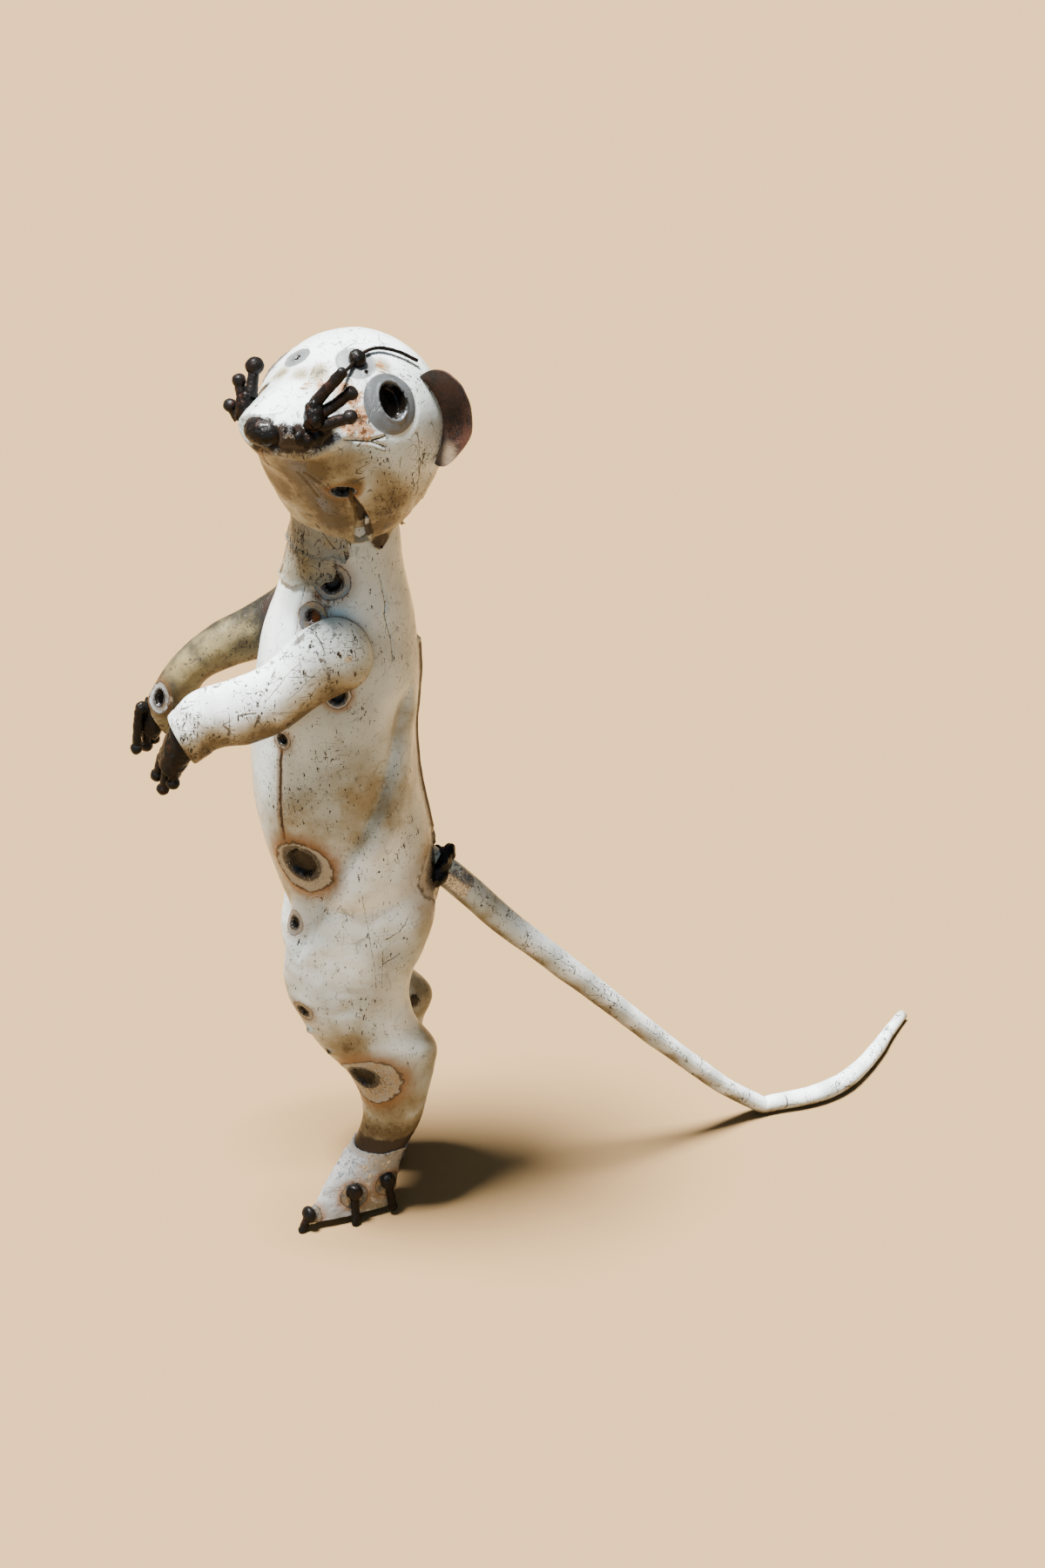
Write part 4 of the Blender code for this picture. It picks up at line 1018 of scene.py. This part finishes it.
arms = {
    "left": [  # upper edge y, z, lower edge y, z, x, half-thickness
        (-17, 366, -2, 330, 41, 10.5), (-29, 360, -18, 323.5, 43, 11), (-45, 345, -37, 310.5, 44, 11.5),
        (-62, 337.5, -52, 304.5, 43, 11.5), (-82, 328, -69, 299.5, 39, 10.5),
        (-91.5, 316, -79.5, 291, 36, 9.5),
    ],
    "right": [
        (-19, 366, -8, 330, -40, 10.5), (-36, 345.5, -38, 309, -42, 11),
        (-54, 333.5, -61, 302, -42, 11), (-71.5, 324.5, -74, 296, -41, 10.5),
        (-88.5, 311.5, -81, 286, -39, 9.5), (-99, 298, -86.5, 279, -38, 8.5),
        (-105, 286.5, -95, 268, -36.5, 7.5),
    ],
    "shoulder": 17, "cuff": 8.5,
}
leftArmStainsAndLight = {
    "wear": [
        ((50, -8, 350), 16, 0.7), ((52, -25, 343), 14, 0.5), ((53, -45, 330), 16, 0.5),
        ((48, -70, 312), 12, 0.75), ((50, -60, 308), 12, 0.85), ((45, -80, 305), 10, 0.85),
        ((50, -30, 322), 12, 0.7), ((46, -20, 362), 9, 0.9),
    ],
    "ochreAndShade": [((50, -14, 336), 10, 0.7), ((50, -45, 312), 12, 0.75), ((46, -70, 302), 12, 0.9),
              ((42, -84, 300), 9, 0.8), ((50, -30, 318), 12, 0.7)],
    # painted light on the top of the forearm
    "paintedLight": [((50, -54, 340), 24, 1.2), ((46, -78, 322), 12, 1.0)],
    "sootAndShade": [((44, -20, 366), 7, 0.75), ((46, -10, 364), 4, 0.5)],
    "bare": [((49.8, -4.5, 350), 3.0, 0.75), ((48, -10, 362), 3.0, 0.6)],
}
leftArmCuts = [
    ([(52.1, -27.2, 350.8), (53.5, -35, 343), (54.4, -42.5, 334.2)], 0.05),
    ([(52.3, -16.2, 348.0), (53.5, -24, 341), (54.8, -32.2, 333.8)], 0.06),
    ([(53.0, -40, 345.0), (54.4, -48, 331)], 0.04),
    ([(54.5, -52, 327), (53.0, -46, 318)], 0.04),
    ([(51.5, -20, 338), (53.5, -27, 328)], 0.05),
]
rightArmStains = {
    "ochreAndShade": [((-31, -83, 306), 12, 1.0), ((-32, -71, 317), 12, 0.8), ((-31, -60, 325), 14, 0.6),
              ((-32, -63, 309), 8, 0.4), ((-30, -98, 276), 8, 0.6)],
    "wear": [((-32, -60, 322), 20, 0.5), ((-30, -98, 276), 7, 0.9)],
    "sootAndShade": [((-31, -85, 304), 5, 0.5), ((-30, -97, 284), 4, 0.5)],
    "bare": [((-31, -96, 290), 6, 0.8)],
}


def makeArm(side, look, burns, cuts, stainsAndLight):
    rings = limbRings(arms[side], 190, 108)
    wrist = rings[-1].mean(axis=0)
    rings = domed(rings, arms["shoulder"], 24)
    inner = wrist + (rings[-1] - wrist) * 0.86
    deep = inner + unit(rings[-4].mean(axis=0) - wrist) * 5
    mesh = meshOf(side + "ArmSheet", [closedGrid(np.concatenate([rings, inner[None], deep[None]]))])

    def relief(points, normals):
        # dents, with the cuff standing proud round the wrist
        fromWrist = np.linalg.norm(points - wrist, axis=-1)
        cuff = smoothStep(fromWrist, arms["cuff"] + 7.5, arms["cuff"] + 6.5)
        fine = 0.14 * roughAt(points, 6, 2, 33) * (1 - cuff)
        move = 0.35 * roughAt(points, 17, 2, 31) + fine + 0.4 * cuff
        return move + (craterRelief(points, burns) if burns else 0)

    markMesh(mesh, burns, cuts, stainsAndLight, 0.9)
    press(mesh, relief)
    # soot where the shoulder meets the trunk
    points = pointsOf(mesh)
    soot = smoothStep(np.abs(points[:, 0]), 40.2, 38.6) * smoothStep(points[:, 1], -52, -36)
    deepen(mesh, "sootAndShade", 1.3 * soot)
    finish = enamelFinish(side + "ArmEnamel", bool(burns), **look)
    return finishPiece(side + "ArmSheet", mesh, finish, [side + "_arm"])


makeArm("left", {"Chipped": 0.75, "Scratched": 1.0, "Lean": (0.9, 0, 0)}, (), leftArmCuts, leftArmStainsAndLight)
# the right arm's near-black paint is painted shade
makeArm("right", {"Paint": (0.024, 0.024, 0.019, 1), "Dull": (0.011, 0.0095, 0.006, 1),
                  "Chipped": 0.8, "Scratched": 0.6},
        [{"at": (-31.2, -98.5, 291.5), "ring": 6.5, "core": 3.0, "deep": 1.5, "dark": 0.4, "halo": 0.3,
          "stretch": (1, 1.25, 0.75)}], (), rightArmStains)
print("arms made")


# Hands and fingers, claws, whiskers: black weld and rod ends

rods = {"radius": 2.5, "fingerBall": 3.4}


def rodRings(start, end, radius, ball, rows=54, cols=28, swell=0.0):
    # radius along the rod: plain rod, then a ball by the circle's rule at its far end
    start, end = np.array(start, float), np.array(end, float)
    length = np.linalg.norm(end - start)
    at = np.concatenate([np.linspace(0, length - 2 * ball, rows // 2, endpoint=False),
                         length - ball - ball * np.cos(np.linspace(0, np.pi, rows - rows // 2))])
    inBall = np.sqrt(np.maximum(ball**2 - (at - length + ball) ** 2, 0))
    rod = radius * (1 + swell * (1 - at / length))
    width = np.where(at < length - ball, np.maximum(inBall, rod), inBall)
    path = start + unit(end - start) * at[:, None]
    up = (0, 0, 1) if abs(unit(end - start)[2]) < 0.9 else (0, 1, 0)
    return tubeRings(path, np.maximum(width, 0.05), cols, up)


def makeRod(name, rings, node, seed, finish=None, rough=0.3):
    mesh = meshOf(name, [closedGrid(rings)])
    press(mesh, lambda points, normals: rough * roughAt(points, 3.2, 3, seed))
    return finishPiece(name, mesh, finish or darkRod, [node])


def blobShells(middle, axes, radii, bumps, seed, spread=0.75):
    # one ellipsoid with smaller ones scattered over it from a seeded draw
    draw = np.random.default_rng(seed)
    shells = [closedGrid(ballRings(middle, axes, radii, 20, 28))]
    for way, size in zip(unit(draw.normal(size=(bumps, 3))), draw.uniform(0.3, 0.5, bumps)):
        place = np.array(middle) + sum(np.array(axis) * radius * part * spread
                                       for axis, radius, part in zip(axes, radii, way))
        shells.append(closedGrid(ballRings(place, axes, np.array(radii) * size, 12, 16)))
    return shells


def makeBlob(name, shells, node, seed, lattice=0.5, rough=0.25, finish=None):
    mesh = weldedMesh(name, shells, lattice, 2)
    press(mesh, lambda points, normals: rough * roughAt(points, 2.4, 3, seed))
    return finishPiece(name, mesh, finish or blackWeld, [node])


hands = {
    "left": [(-90, 313, -80, 295, 36, 8), (-95, 302, -84, 289, 35, 8.5), (-98.5, 291, -89, 281, 34, 8)],
    "right": [(-105, 289, -97, 272, -36.5, 6.5), (-108.5, 281, -99, 268, -36, 6.5),
              (-110, 275, -101.5, 265, -36, 6)],
    "leftFingers": [((30, -96, 292), (28, -100.5, 277)), ((34.5, -94, 288), (33.5, -97.5, 272)),
                    ((39.5, -91, 288), (39.5, -92, 278))],
    "rightFingers": [((-31.5, -109, 284), (-30, -112, 260)), ((-36.5, -106, 274), (-36, -107, 258)),
                     ((-41.5, -103, 274), (-41.5, -103, 259))],
}


def makeHand(side):
    palm = limbRings(hands[side], 24, 40)
    shells = [closedGrid(palm)]
    for number, (root, tip) in enumerate(hands[side + "Fingers"], 1):
        rings = rodRings(root, tip, rods["radius"], rods["fingerBall"])
        makeRod(f"{side}Finger{number}", rings, f"{side}_finger_{number}", 40 + number, blackWeld)
        shells += blobShells(np.array(root) + (0, 1.5, 2), headAxes, (3.2, 3.0, 3.4), 3, 50 + number)
    makeBlob(side + "Palm", shells, side + "_hand", 60, 0.5, 0.35)


for side in ("left", "right"):
    makeHand(side)

whiskers = {
    "left": ((51, 20.5, 26), [
        ((50, 19, 31), (44, 33, 49), 2.7), ((49, 22, 26.5), (40, 36, 39), 3.4),
        ((50, 22, 21), (43, 38, 28), 3.4)]),
    "right": ((52, -19, 21), [
        ((51.5, -17, 26.5), (43, -20, 43), 4.4), ((52, -21.5, 21.5), (49, -26, 35.5), 3.4),
        ((52.5, -23.5, 14.8), (54, -29.5, 23.5), 3.4)]),
    "weld": (6.2, 5.0, 7.0), "nose": (63.5, 1, 18.5), "noseSize": (8.5, 10.5, 7.2),
    "wireRoot": (48.5, 22.5, 35.5), "wireOff": 4.2,
    "wire": [(48, 61), (62, 66), (84, 66), (104, 58), (116, 46)],
    # weld that runs back from the nose along the left of the muzzle
    "run": [((59.0, 14.2, 16.8), 3.2), ((57.2, 16.2, 16.6), 4.0), ((54.0, 19.0, 15.6), 4.4),
            ((50.0, 21.8, 16.5), 4.2), ((47.5, 23.8, 18.5), 3.2)],
}

for side in ("left", "right"):
    middle, roots = whiskers[side]
    for number, (root, end, ball) in enumerate(roots, 1):
        rings = rodRings(onHead(*root), onHead(*end), rods["radius"], ball, swell=0.15)
        makeRod(f"{side}Whisker{number}", rings, f"whisker_{side}_{number}", 70 + number)
    shells = blobShells(onHead(*middle), headAxes, whiskers["weld"], 9, 80, 0.8)
    if side == "left":
        for number, (place, radius) in enumerate(whiskers["run"]):
            shells += blobShells(onHead(*place), headAxes, (radius, radius * 0.8, radius), 4, 82 + number)
    makeBlob(side + "WhiskerWeld", shells, f"whisker_weld_{side}", 81)
makeBlob("noseBlock", blobShells(onHead(*whiskers["nose"]), headAxes, whiskers["noseSize"], 5, 90, 0.55),
         "nose", 91, 0.5, 0.2)
beadAt = onSkull(*head["bead"], head["skull"] + 4.7)
makeBlob("browBead", blobShells(beadAt, headAxes, (4.2, 4.2, 4.4), 3, 95, 0.5), "brow_bead", 95, 0.4, 0.25)
over = [onSkull(*place, head["skull"] + whiskers["wireOff"]) for place in whiskers["wire"]]
for name, route, node in (("browWireFront", [onHead(*whiskers["wireRoot"]), over[0]], "brow_wire_front"),
                          ("browWireBack", over, "brow_wire_back")):
    path = through(route, 120)
    mesh = meshOf(name, [closedGrid(tubeRings(path, np.full(120, 0.9), 14))])
    press(mesh, lambda points, normals: 0.12 * roughAt(points, 2.2, 2, 97))
    finishPiece(name, mesh, blackWeld, [node])
print("hands and whiskers made")


# Ears: cupped sheet, enamel behind and rust inside

ears = {  # way it faces, then across, tall, cupped, lean, middle
    "left": (1, (17, 24, 7, 8, (-12, 43, 8.5))),
    "right": (-1, (16, 22, 7, 24, (-16.5, -39, 3))),
}


def makeEar(side):
    way, (across, tall, cup, lean, middle) = ears[side]
    lean = np.radians(lean)
    openSide = ahead * np.cos(lean) + leftward * way * np.sin(lean)
    out = leftward * way * np.cos(lean) - ahead * np.sin(lean)
    share, turn = np.linspace(0.02, 1, 50)[:, None, None], turnsOf(128)[None, :, None]
    # an oval drawn in below to a blunt point
    narrow = 1 - 0.34 * smoothStep(np.sin(turn), -0.1, -1.0)
    bowl = (onHead(*middle) - openSide * cup * (1 - share**2)
            + (out * across * np.cos(turn) * narrow + upward * tall * np.sin(turn)) * share)
    bowl = bowl + openSide * (0.6 * roughAt(bowl, 9, 2, 101) * share[..., 0])[..., None]
    back = bowl - openSide * figure["sheet"]
    mesh = meshOf(side + "EarSheet", [closedGrid(np.concatenate([bowl, back[::-1]]))])
    low = onHead(*middle) - upward * tall * 0.72 + out * 2
    markMesh(mesh, (), (), {"bare": [(low, 7, 1.1)], "ochreAndShade": [(onHead(*middle), 30, 0.6)],
                            "wear": [(onHead(*middle), 30, 0.6)]}, 0.2)
    backPaint = enamelFinish(side + "EarBack", False, Chipped=0.9, Scratched=0.8)
    piece = finishPiece(side + "EarSheet", mesh, [backPaint, earRust], [side + "_ear"])
    normals = np.empty(len(mesh.polygons) * 3, np.float32)
    mesh.polygons.foreach_get("normal", normals)
    inside = (normals.reshape(-1, 3) @ openSide > -0.2).astype(np.int32)
    mesh.polygons.foreach_set("material_index", inside)
    return piece


for side in ("left", "right"):
    makeEar(side)
print("ears made")


# Neck plate, laid over the neck in two lapped blocks with stepped ends

collar = {"blocks": [  # first and last turn, low edge in front, its rise to the side, top edge, stand-off
    (-58, 76, 372, 12, 393.5, 1.5), (-58, 88, 391.5, 0, 406, 2.1)]}


def makeCollar():
    shells = []
    for number, (first, last, low, rise, top, stand) in enumerate(collar["blocks"]):
        across, up = np.linspace(0, 1, 170)[None, :], np.linspace(0, 1, 56)[:, None]
        span = first + (last - first) * across
        flat = np.stack([span / 2, 0 * span, 0 * span], axis=-1)
        lowest = low + rise * np.clip(span / 90, 0, 1) ** 1.3 + 0.9 * roughAt(flat, 4, 3, 170 + number)
        height = lowest + (top - lowest) * up
        side = np.stack([0 * height, height, 0 * height], axis=-1)
        ragged = (span - first) / (last - first) * 4.0 * roughAt(side, 5, 2, 173 + number)
        turn = np.radians(span + ragged)
        place = np.stack([turn * 25, height, 0 * height], axis=-1)
        curl = 0.9 * smoothStep(across, 0.93, 1.0) + 0.5 * smoothStep(up, 0.12, 0.0)
        off = stand + 0.35 * roughAt(place, 8, 2, 176 + number) + curl
        shells.append(sheetGrid(neckPlace(turn, height, off), -figure["sheet"]))
    mesh = meshOf("collarPlate", shells)
    stainsAndLight = {
        "ochreAndShade": [
            ((26, 2, 398), 6, 1.1), ((27, 2, 386), 6, 1.1), ((20, -20, 386), 8, 0.8),
            ((26, -10, 400), 5, 0.6), ((10, -27, 378), 8, 0.7),
        ],
        "wear": [((10, -28, 392), 14, 0.9), ((24, -12, 390), 12, 0.8), ((22, -18, 376), 8, 0.9)],
        "sootAndShade": [
            ((-4, -31, 382), 5, 1.3), ((2, -32, 376), 4, 1.1), ((22, -21, 377), 4, 0.8),
            ((24, -12, 391), 2, 0.9), ((26, 0, 404), 3, 0.9), ((6, -29, 403), 3, 0.8),
        ],
    }
    cuts = [([(24.5, -14, 392), (27.5, -2, 391.5)], 0.35), ([(25, -13, 404), (26, -8, 398)], 0.15)]
    markMesh(mesh, (), cuts, stainsAndLight, 0.2)
    # the grey-brown paint is darkened further as painted shade under the head
    finish = enamelFinish("collarEnamel", False, Paint=(0.26, 0.26, 0.22, 1), Dull=(0.13, 0.125, 0.095, 1),
                          Chipped=1.0, Scratched=0.8)
    return finishPiece("collarPlate", mesh, finish, ["neck_plate"])


makeCollar()
print("collar made")


# Feet and claws

feet = {
    "left": {"ankle": body["leftShin"][-1], "above": body["leftShin"][-2], "turn": 27.0,
             "sole": (45, 7.5, 10.5, 5),
             "claws": [(5, 0.86, 0, 0), (60, 0.55, 65, 0), (98, 0.45, 98, 3), (-65, 0.60, -65, 0)]},
    "right": {"ankle": body["rightShin"][-1], "above": body["rightShin"][-2], "turn": -80.0,
              "sole": (34, 7.5, 8.5, 5),
              "claws": [(0, 0.74, 0, 0), (-60, 0.60, -65, 0), (105, 0.50, 112, 0), (58, 0.62, 55, 0)]},
}
heatedSteel = enamelFinish("heatedSteel", True, Paint=(0.33, 0.33, 0.32, 1), Dull=(0.15, 0.145, 0.13, 1),
                           Chipped=0.5, Scratched=0.5)


def footRings(foot, shares, cols):
    # each ring lies between the ankle's oval and the sole's pointed outline
    ankle, (toe, heel, half, offGround) = np.array(foot["ankle"], float), foot["sole"]
    around = turnsOf(cols)
    turn = np.radians(foot["turn"])
    toeward = np.array([np.sin(turn), -np.cos(turn), 0])
    sideward = np.array([np.cos(turn), np.sin(turn), 0])
    middle = np.array([ankle[4], (ankle[0] + ankle[2]) / 2, offGround])
    reach = np.where(np.cos(around) > 0, toe, heel) * np.cos(around)
    wide = half * (1 - 0.62 * np.clip(np.cos(around), 0, 1) ** 1.5) * np.sin(around)
    outline = middle + np.outer(reach, toeward) + np.outer(wide, sideward)
    top = ovalRings(ankle[None], cols, middle=ankle[4])[0]
    shares = np.reshape(shares, (-1, 1))
    rings = np.empty((len(shares), cols, 3))
    outward = (np.clip(shares, 0, 1) ** 0.8)[..., None]
    rings[..., :2] = top[None, :, :2] + (outline - top)[None, :, :2] * outward
    rings[..., 2] = top[None, :, 2] + (outline - top)[None, :, 2] * shares
    out = np.outer(np.cos(around), toeward) + np.outer(np.sin(around), sideward)
    return rings, out


def clawPlaces(foot, ballTurn, share, endTurn, offGround):
    # where a claw's dome sits on the foot's skin, which way is out there, and where its rod ends
    ring, out = footRings(foot, [share], 72)
    rim, outAtRim = footRings(foot, [1.0], 72)
    spot, endSpot = round(ballTurn / 5) % 72, round(endTurn / 5) % 72
    end = rim[0, endSpot] + outAtRim[endSpot] * 3.1
    end[2] = offGround
    return ring[0, spot] + out[spot] * 1.6, out[spot], end


def makeFoot(side):
    foot = feet[side]
    cols = 160
    around = turnsOf(cols)
    rings, out = footRings(foot, np.linspace(0, 1, 96), cols)
    # the top edge laps ragged over the shin
    lap = 4.5 + 1.1 * roughAt(np.stack([np.cos(around), np.sin(around), 0 * around], -1) * 11, 5, 3, 120)
    shank = rings[0] - rings[0].mean(axis=0)
    above, ankle = np.array(foot["above"], float), np.array(foot["ankle"], float)
    slant = np.array([above[4] - ankle[4], (above[0] + above[2] - ankle[0] - ankle[2]) / 2,
                      (above[1] + above[3] - ankle[1] - ankle[3]) / 2])
    slant = slant / slant[2]
    up = [rings[0] + out * 0.7 + np.outer(lap * share, slant) - shank * 0.01 * share
          for share in (1, 0.7, 0.4)]
    inside = [rings[0] + np.outer(lap, slant) - out * 0.6]
    sole = [rings[-1] + (rings[-1].mean(axis=0) - rings[-1]) * share for share in (0.15, 0.4, 0.7, 0.95)]
    rings = np.concatenate([np.array(inside), np.array(up), rings + out * 0.6, np.array(sole)])
    mesh = meshOf(side + "FootSheet", [closedGrid(rings)])
    press(mesh, lambda points, normals: (0.35 * roughAt(points, 9, 3, 123)
                                         + 0.15 * roughAt(points, 3, 2, 127)))
    claws = [clawPlaces(foot, *claw) for claw in foot["claws"]]
    burns = [{"at": dome + (end - dome) * 0.15, "ring": 7.5, "core": 1.0, "deep": 0.0, "lip": 0.1,
              "halo": 0.7, "warm": 0.8, "dark": 0.95} for dome, way, end in claws]
    middle = rings.reshape(-1, 3).mean(axis=0)
    # painted light on the upper front of the foot
    markMesh(mesh, burns, (), {"bare": [(middle, 60, 0.5)], "paintedLight": [(middle + (0, -4, 12), 12, 0.5)],
                               "ochreAndShade": [(middle - upward * 12, 14, 0.9)],
                               "wear": [(middle - upward * 6, 12, 0.4)]}, 0.3)
    finishPiece(side + "FootSheet", mesh, heatedSteel, [side + "_foot"])
    for number, (dome, way, end) in enumerate(claws, 1):
        path = dome + (end - dome) * np.linspace(0.02, 1, 30)[:, None]
        swell = 1 + 0.1 * np.exp(-(((np.linspace(0, 1, 30) - 0.9) / 0.08) ** 2))
        axes = (way, np.cross(upward, way), upward)
        shells = [closedGrid(tubeRings(path, rods["radius"] * 0.9 * swell, 24, (0.1, 1, 0)))]
        shells += blobShells(dome, axes, (3.4, 4.7, 4.7), 4, 130 + number, 0.6)
        mesh = weldedMesh(f"{side}Claw{number}", shells, 0.5, 2)
        ground = end[2]
        press(mesh, lambda points, normals: np.where(points[:, 2] > ground + 0.7,
                                                     0.25 * roughAt(points, 2.6, 2, 133), 0))
        points = pointsOf(mesh)
        points[:, 2] = np.maximum(points[:, 2], ground)
        setPoints(mesh, points)
        finishPiece(f"{side}Claw{number}", mesh, blackWeld, [f"{side}_claw_{number}"])


for side in ("left", "right"):
    makeFoot(side)
print("feet made")


# Tail, a long rolled tube that props the figure

tail = {
    "rows": [  # x, y, z, radius; where z is 0 the tail lies on the ground
        (0, 31, 209, 8.0), (0, 47, 194.5, 7.8), (-1, 76, 162.5, 7.5), (-4, 101.5, 136.5, 7.0),
        (-9, 127.5, 108.5, 6.4), (-16, 155, 77.5, 5.9), (-24, 183.5, 46, 5.4), (-30.5, 203, 25, 5.1),
        (-36, 219, 11, 4.9), (-40, 235, 0, 4.9), (-43.5, 254, 0, 5.2), (-53, 274, 0, 5.3),
        (-68, 289.5, 0, 4.9), (-86, 303, 0, 4.3), (-104.5, 315, 0, 3.6), (-121, 326.5, 0, 3.0),
    ],
    "weld": (6.5, 11, 10.5), "weldAt": 11,
}


def makeTail():
    rows = through(tail["rows"], 420)
    rows[:, 2] = np.maximum(rows[:, 2], rows[:, 3] + 0.25)
    rings = tubeRings(rows[:, :3], rows[:, 3], 48)
    tip, before = rings[-1].mean(axis=0), rings[-8].mean(axis=0)
    inside = [tip + (rings[-1] - tip) * 0.72, tip + (rings[-1] - tip) * 0.68 + unit(before - tip) * 6]
    mesh = meshOf("tailTube", [closedGrid(np.concatenate([rings, np.array(inside)]))])
    press(mesh, lambda points, normals: np.where(points[:, 2] > 1.2, 0.25 * roughAt(points, 14, 2, 141), 0))
    top = np.array([0, 0, 5])
    path = rows[30::28, :3]
    stainsAndLight = {
        "bare": [((2, 50, 192), 9, 1.2), ((2, 44, 197), 8, 1.2)],
        # painted shade along the underside of the tail
        "ochreAndShade": [((1, 66, 176), 6, 0.9), (tip, 5, 0.9)] + [(place - top, 7, 0.75) for place in path],
        "wear": [(place + top * 0.3, 8, 0.55) for place in path],
        # painted light along the top of the tail
        "paintedLight": [(place + top, 9, 1.2) for place in path[2:]],
        "sootAndShade": [((1, 60, 182), 3, 0.6), (rings[-1].mean(axis=0), 2.4, 0.5)],
    }
    cuts = [([place + (5, 0, 3), following + (5, 0, 5)], 0.03)
            for place, following in zip(path[2:9], path[3:])]
    markMesh(mesh, (), cuts, stainsAndLight, 0.7)
    finish = enamelFinish("tailEnamel", False, Chipped=0.9, Scratched=1.0, Lean=(0.75, 0, 0))
    finishPiece("tailTube", mesh, finish, ["tail"])
    along = unit(np.array(tail["rows"][1][:3]) - np.array(tail["rows"][0][:3]))
    root = np.array(tail["rows"][0][:3]) + along * tail["weldAt"]
    across = np.array([1.0, 0, 0])
    axes = (along, across, np.cross(along, across))
    makeBlob("tailWeld", blobShells(root, axes, tail["weld"], 16, 150, 0.85), "tail_weld", 151, 0.7, 0.5)


makeTail()
print("tail made")


# Floor, light and camera

stage = {"floor": (0.215, 0.135, 0.062, 1), "camera": (1223.0, -44.5, 957.5), "turn": 84.0, "rise": 30.0,
         "lens": 63.677, "sensor": 36.0, "sky": 0.26,
         "key": 30.0, "keyColor": (1.0, 1.0, 1.0), "keyAngle": 14.0, "keyFrom": (0.03, -0.27, 1.2),
         "fill": 1.1, "fillColor": (0.3, 0.7, 1.0), "fillAngle": 60.0, "fillFrom": (1.0, -0.25, 0.18)}


def makeStage():
    bpy.ops.mesh.primitive_plane_add(size=12)
    floor = bpy.context.object
    floor.name = "floor"
    finish, tree, shader, place = newFinish("paleFloor", **{"Roughness": 1.0, "Base Color": stage["floor"],
                                                            "Specular IOR Level": 0.0})
    floor.data.materials.append(finish)
    # a high key light, and a low cool fill against the floor's warm bounce
    for name in ("key", "fill"):
        light = bpy.data.lights.new(name, "SUN")
        light.energy = stage[name]
        light.color = stage[name + "Color"]
        light.angle = np.radians(stage[name + "Angle"])
        lightObject = bpy.data.objects.new(name, light)
        lightObject.rotation_mode = "QUATERNION"
        lightObject.rotation_quaternion = Vector(stage[name + "From"]).to_track_quat("Z", "Y")
        bpy.context.scene.collection.objects.link(lightObject)
    world = bpy.data.worlds.new("softRoom")
    bpy.context.scene.world = world
    world.use_nodes = True
    tree = world.node_tree
    height = put(tree, "SeparateXYZ", {0: put(tree, "TexCoord", output=0)}, output=2)
    tone = mixed(tree, between(tree, height, 0.0, 0.75), (0.2, 0.19, 0.17, 1), (1.0, 1.08, 1.15, 1))
    sky = tree.nodes["Background"]
    tree.links.new(tone, sky.inputs["Color"])
    sky.inputs["Strength"].default_value = stage["sky"]
    camera = bpy.data.cameras.new("photoCamera")
    camera.lens, camera.sensor_width = stage["lens"], stage["sensor"]
    camera.clip_start, camera.clip_end = 0.05, 50
    cameraObject = bpy.data.objects.new("photoCamera", camera)
    turn, rise = np.radians(stage["turn"]), np.radians(stage["rise"])
    back = Vector((np.sin(turn) * np.cos(rise), -np.cos(turn) * np.cos(rise), np.sin(rise)))
    cameraObject.location = metres(stage["camera"])
    cameraObject.rotation_mode = "QUATERNION"
    cameraObject.rotation_quaternion = (-back).to_track_quat("-Z", "Y")
    bpy.context.scene.collection.objects.link(cameraObject)
    bpy.context.scene.camera = cameraObject


makeStage()
print("stage made")

bpy.context.view_layer.update()
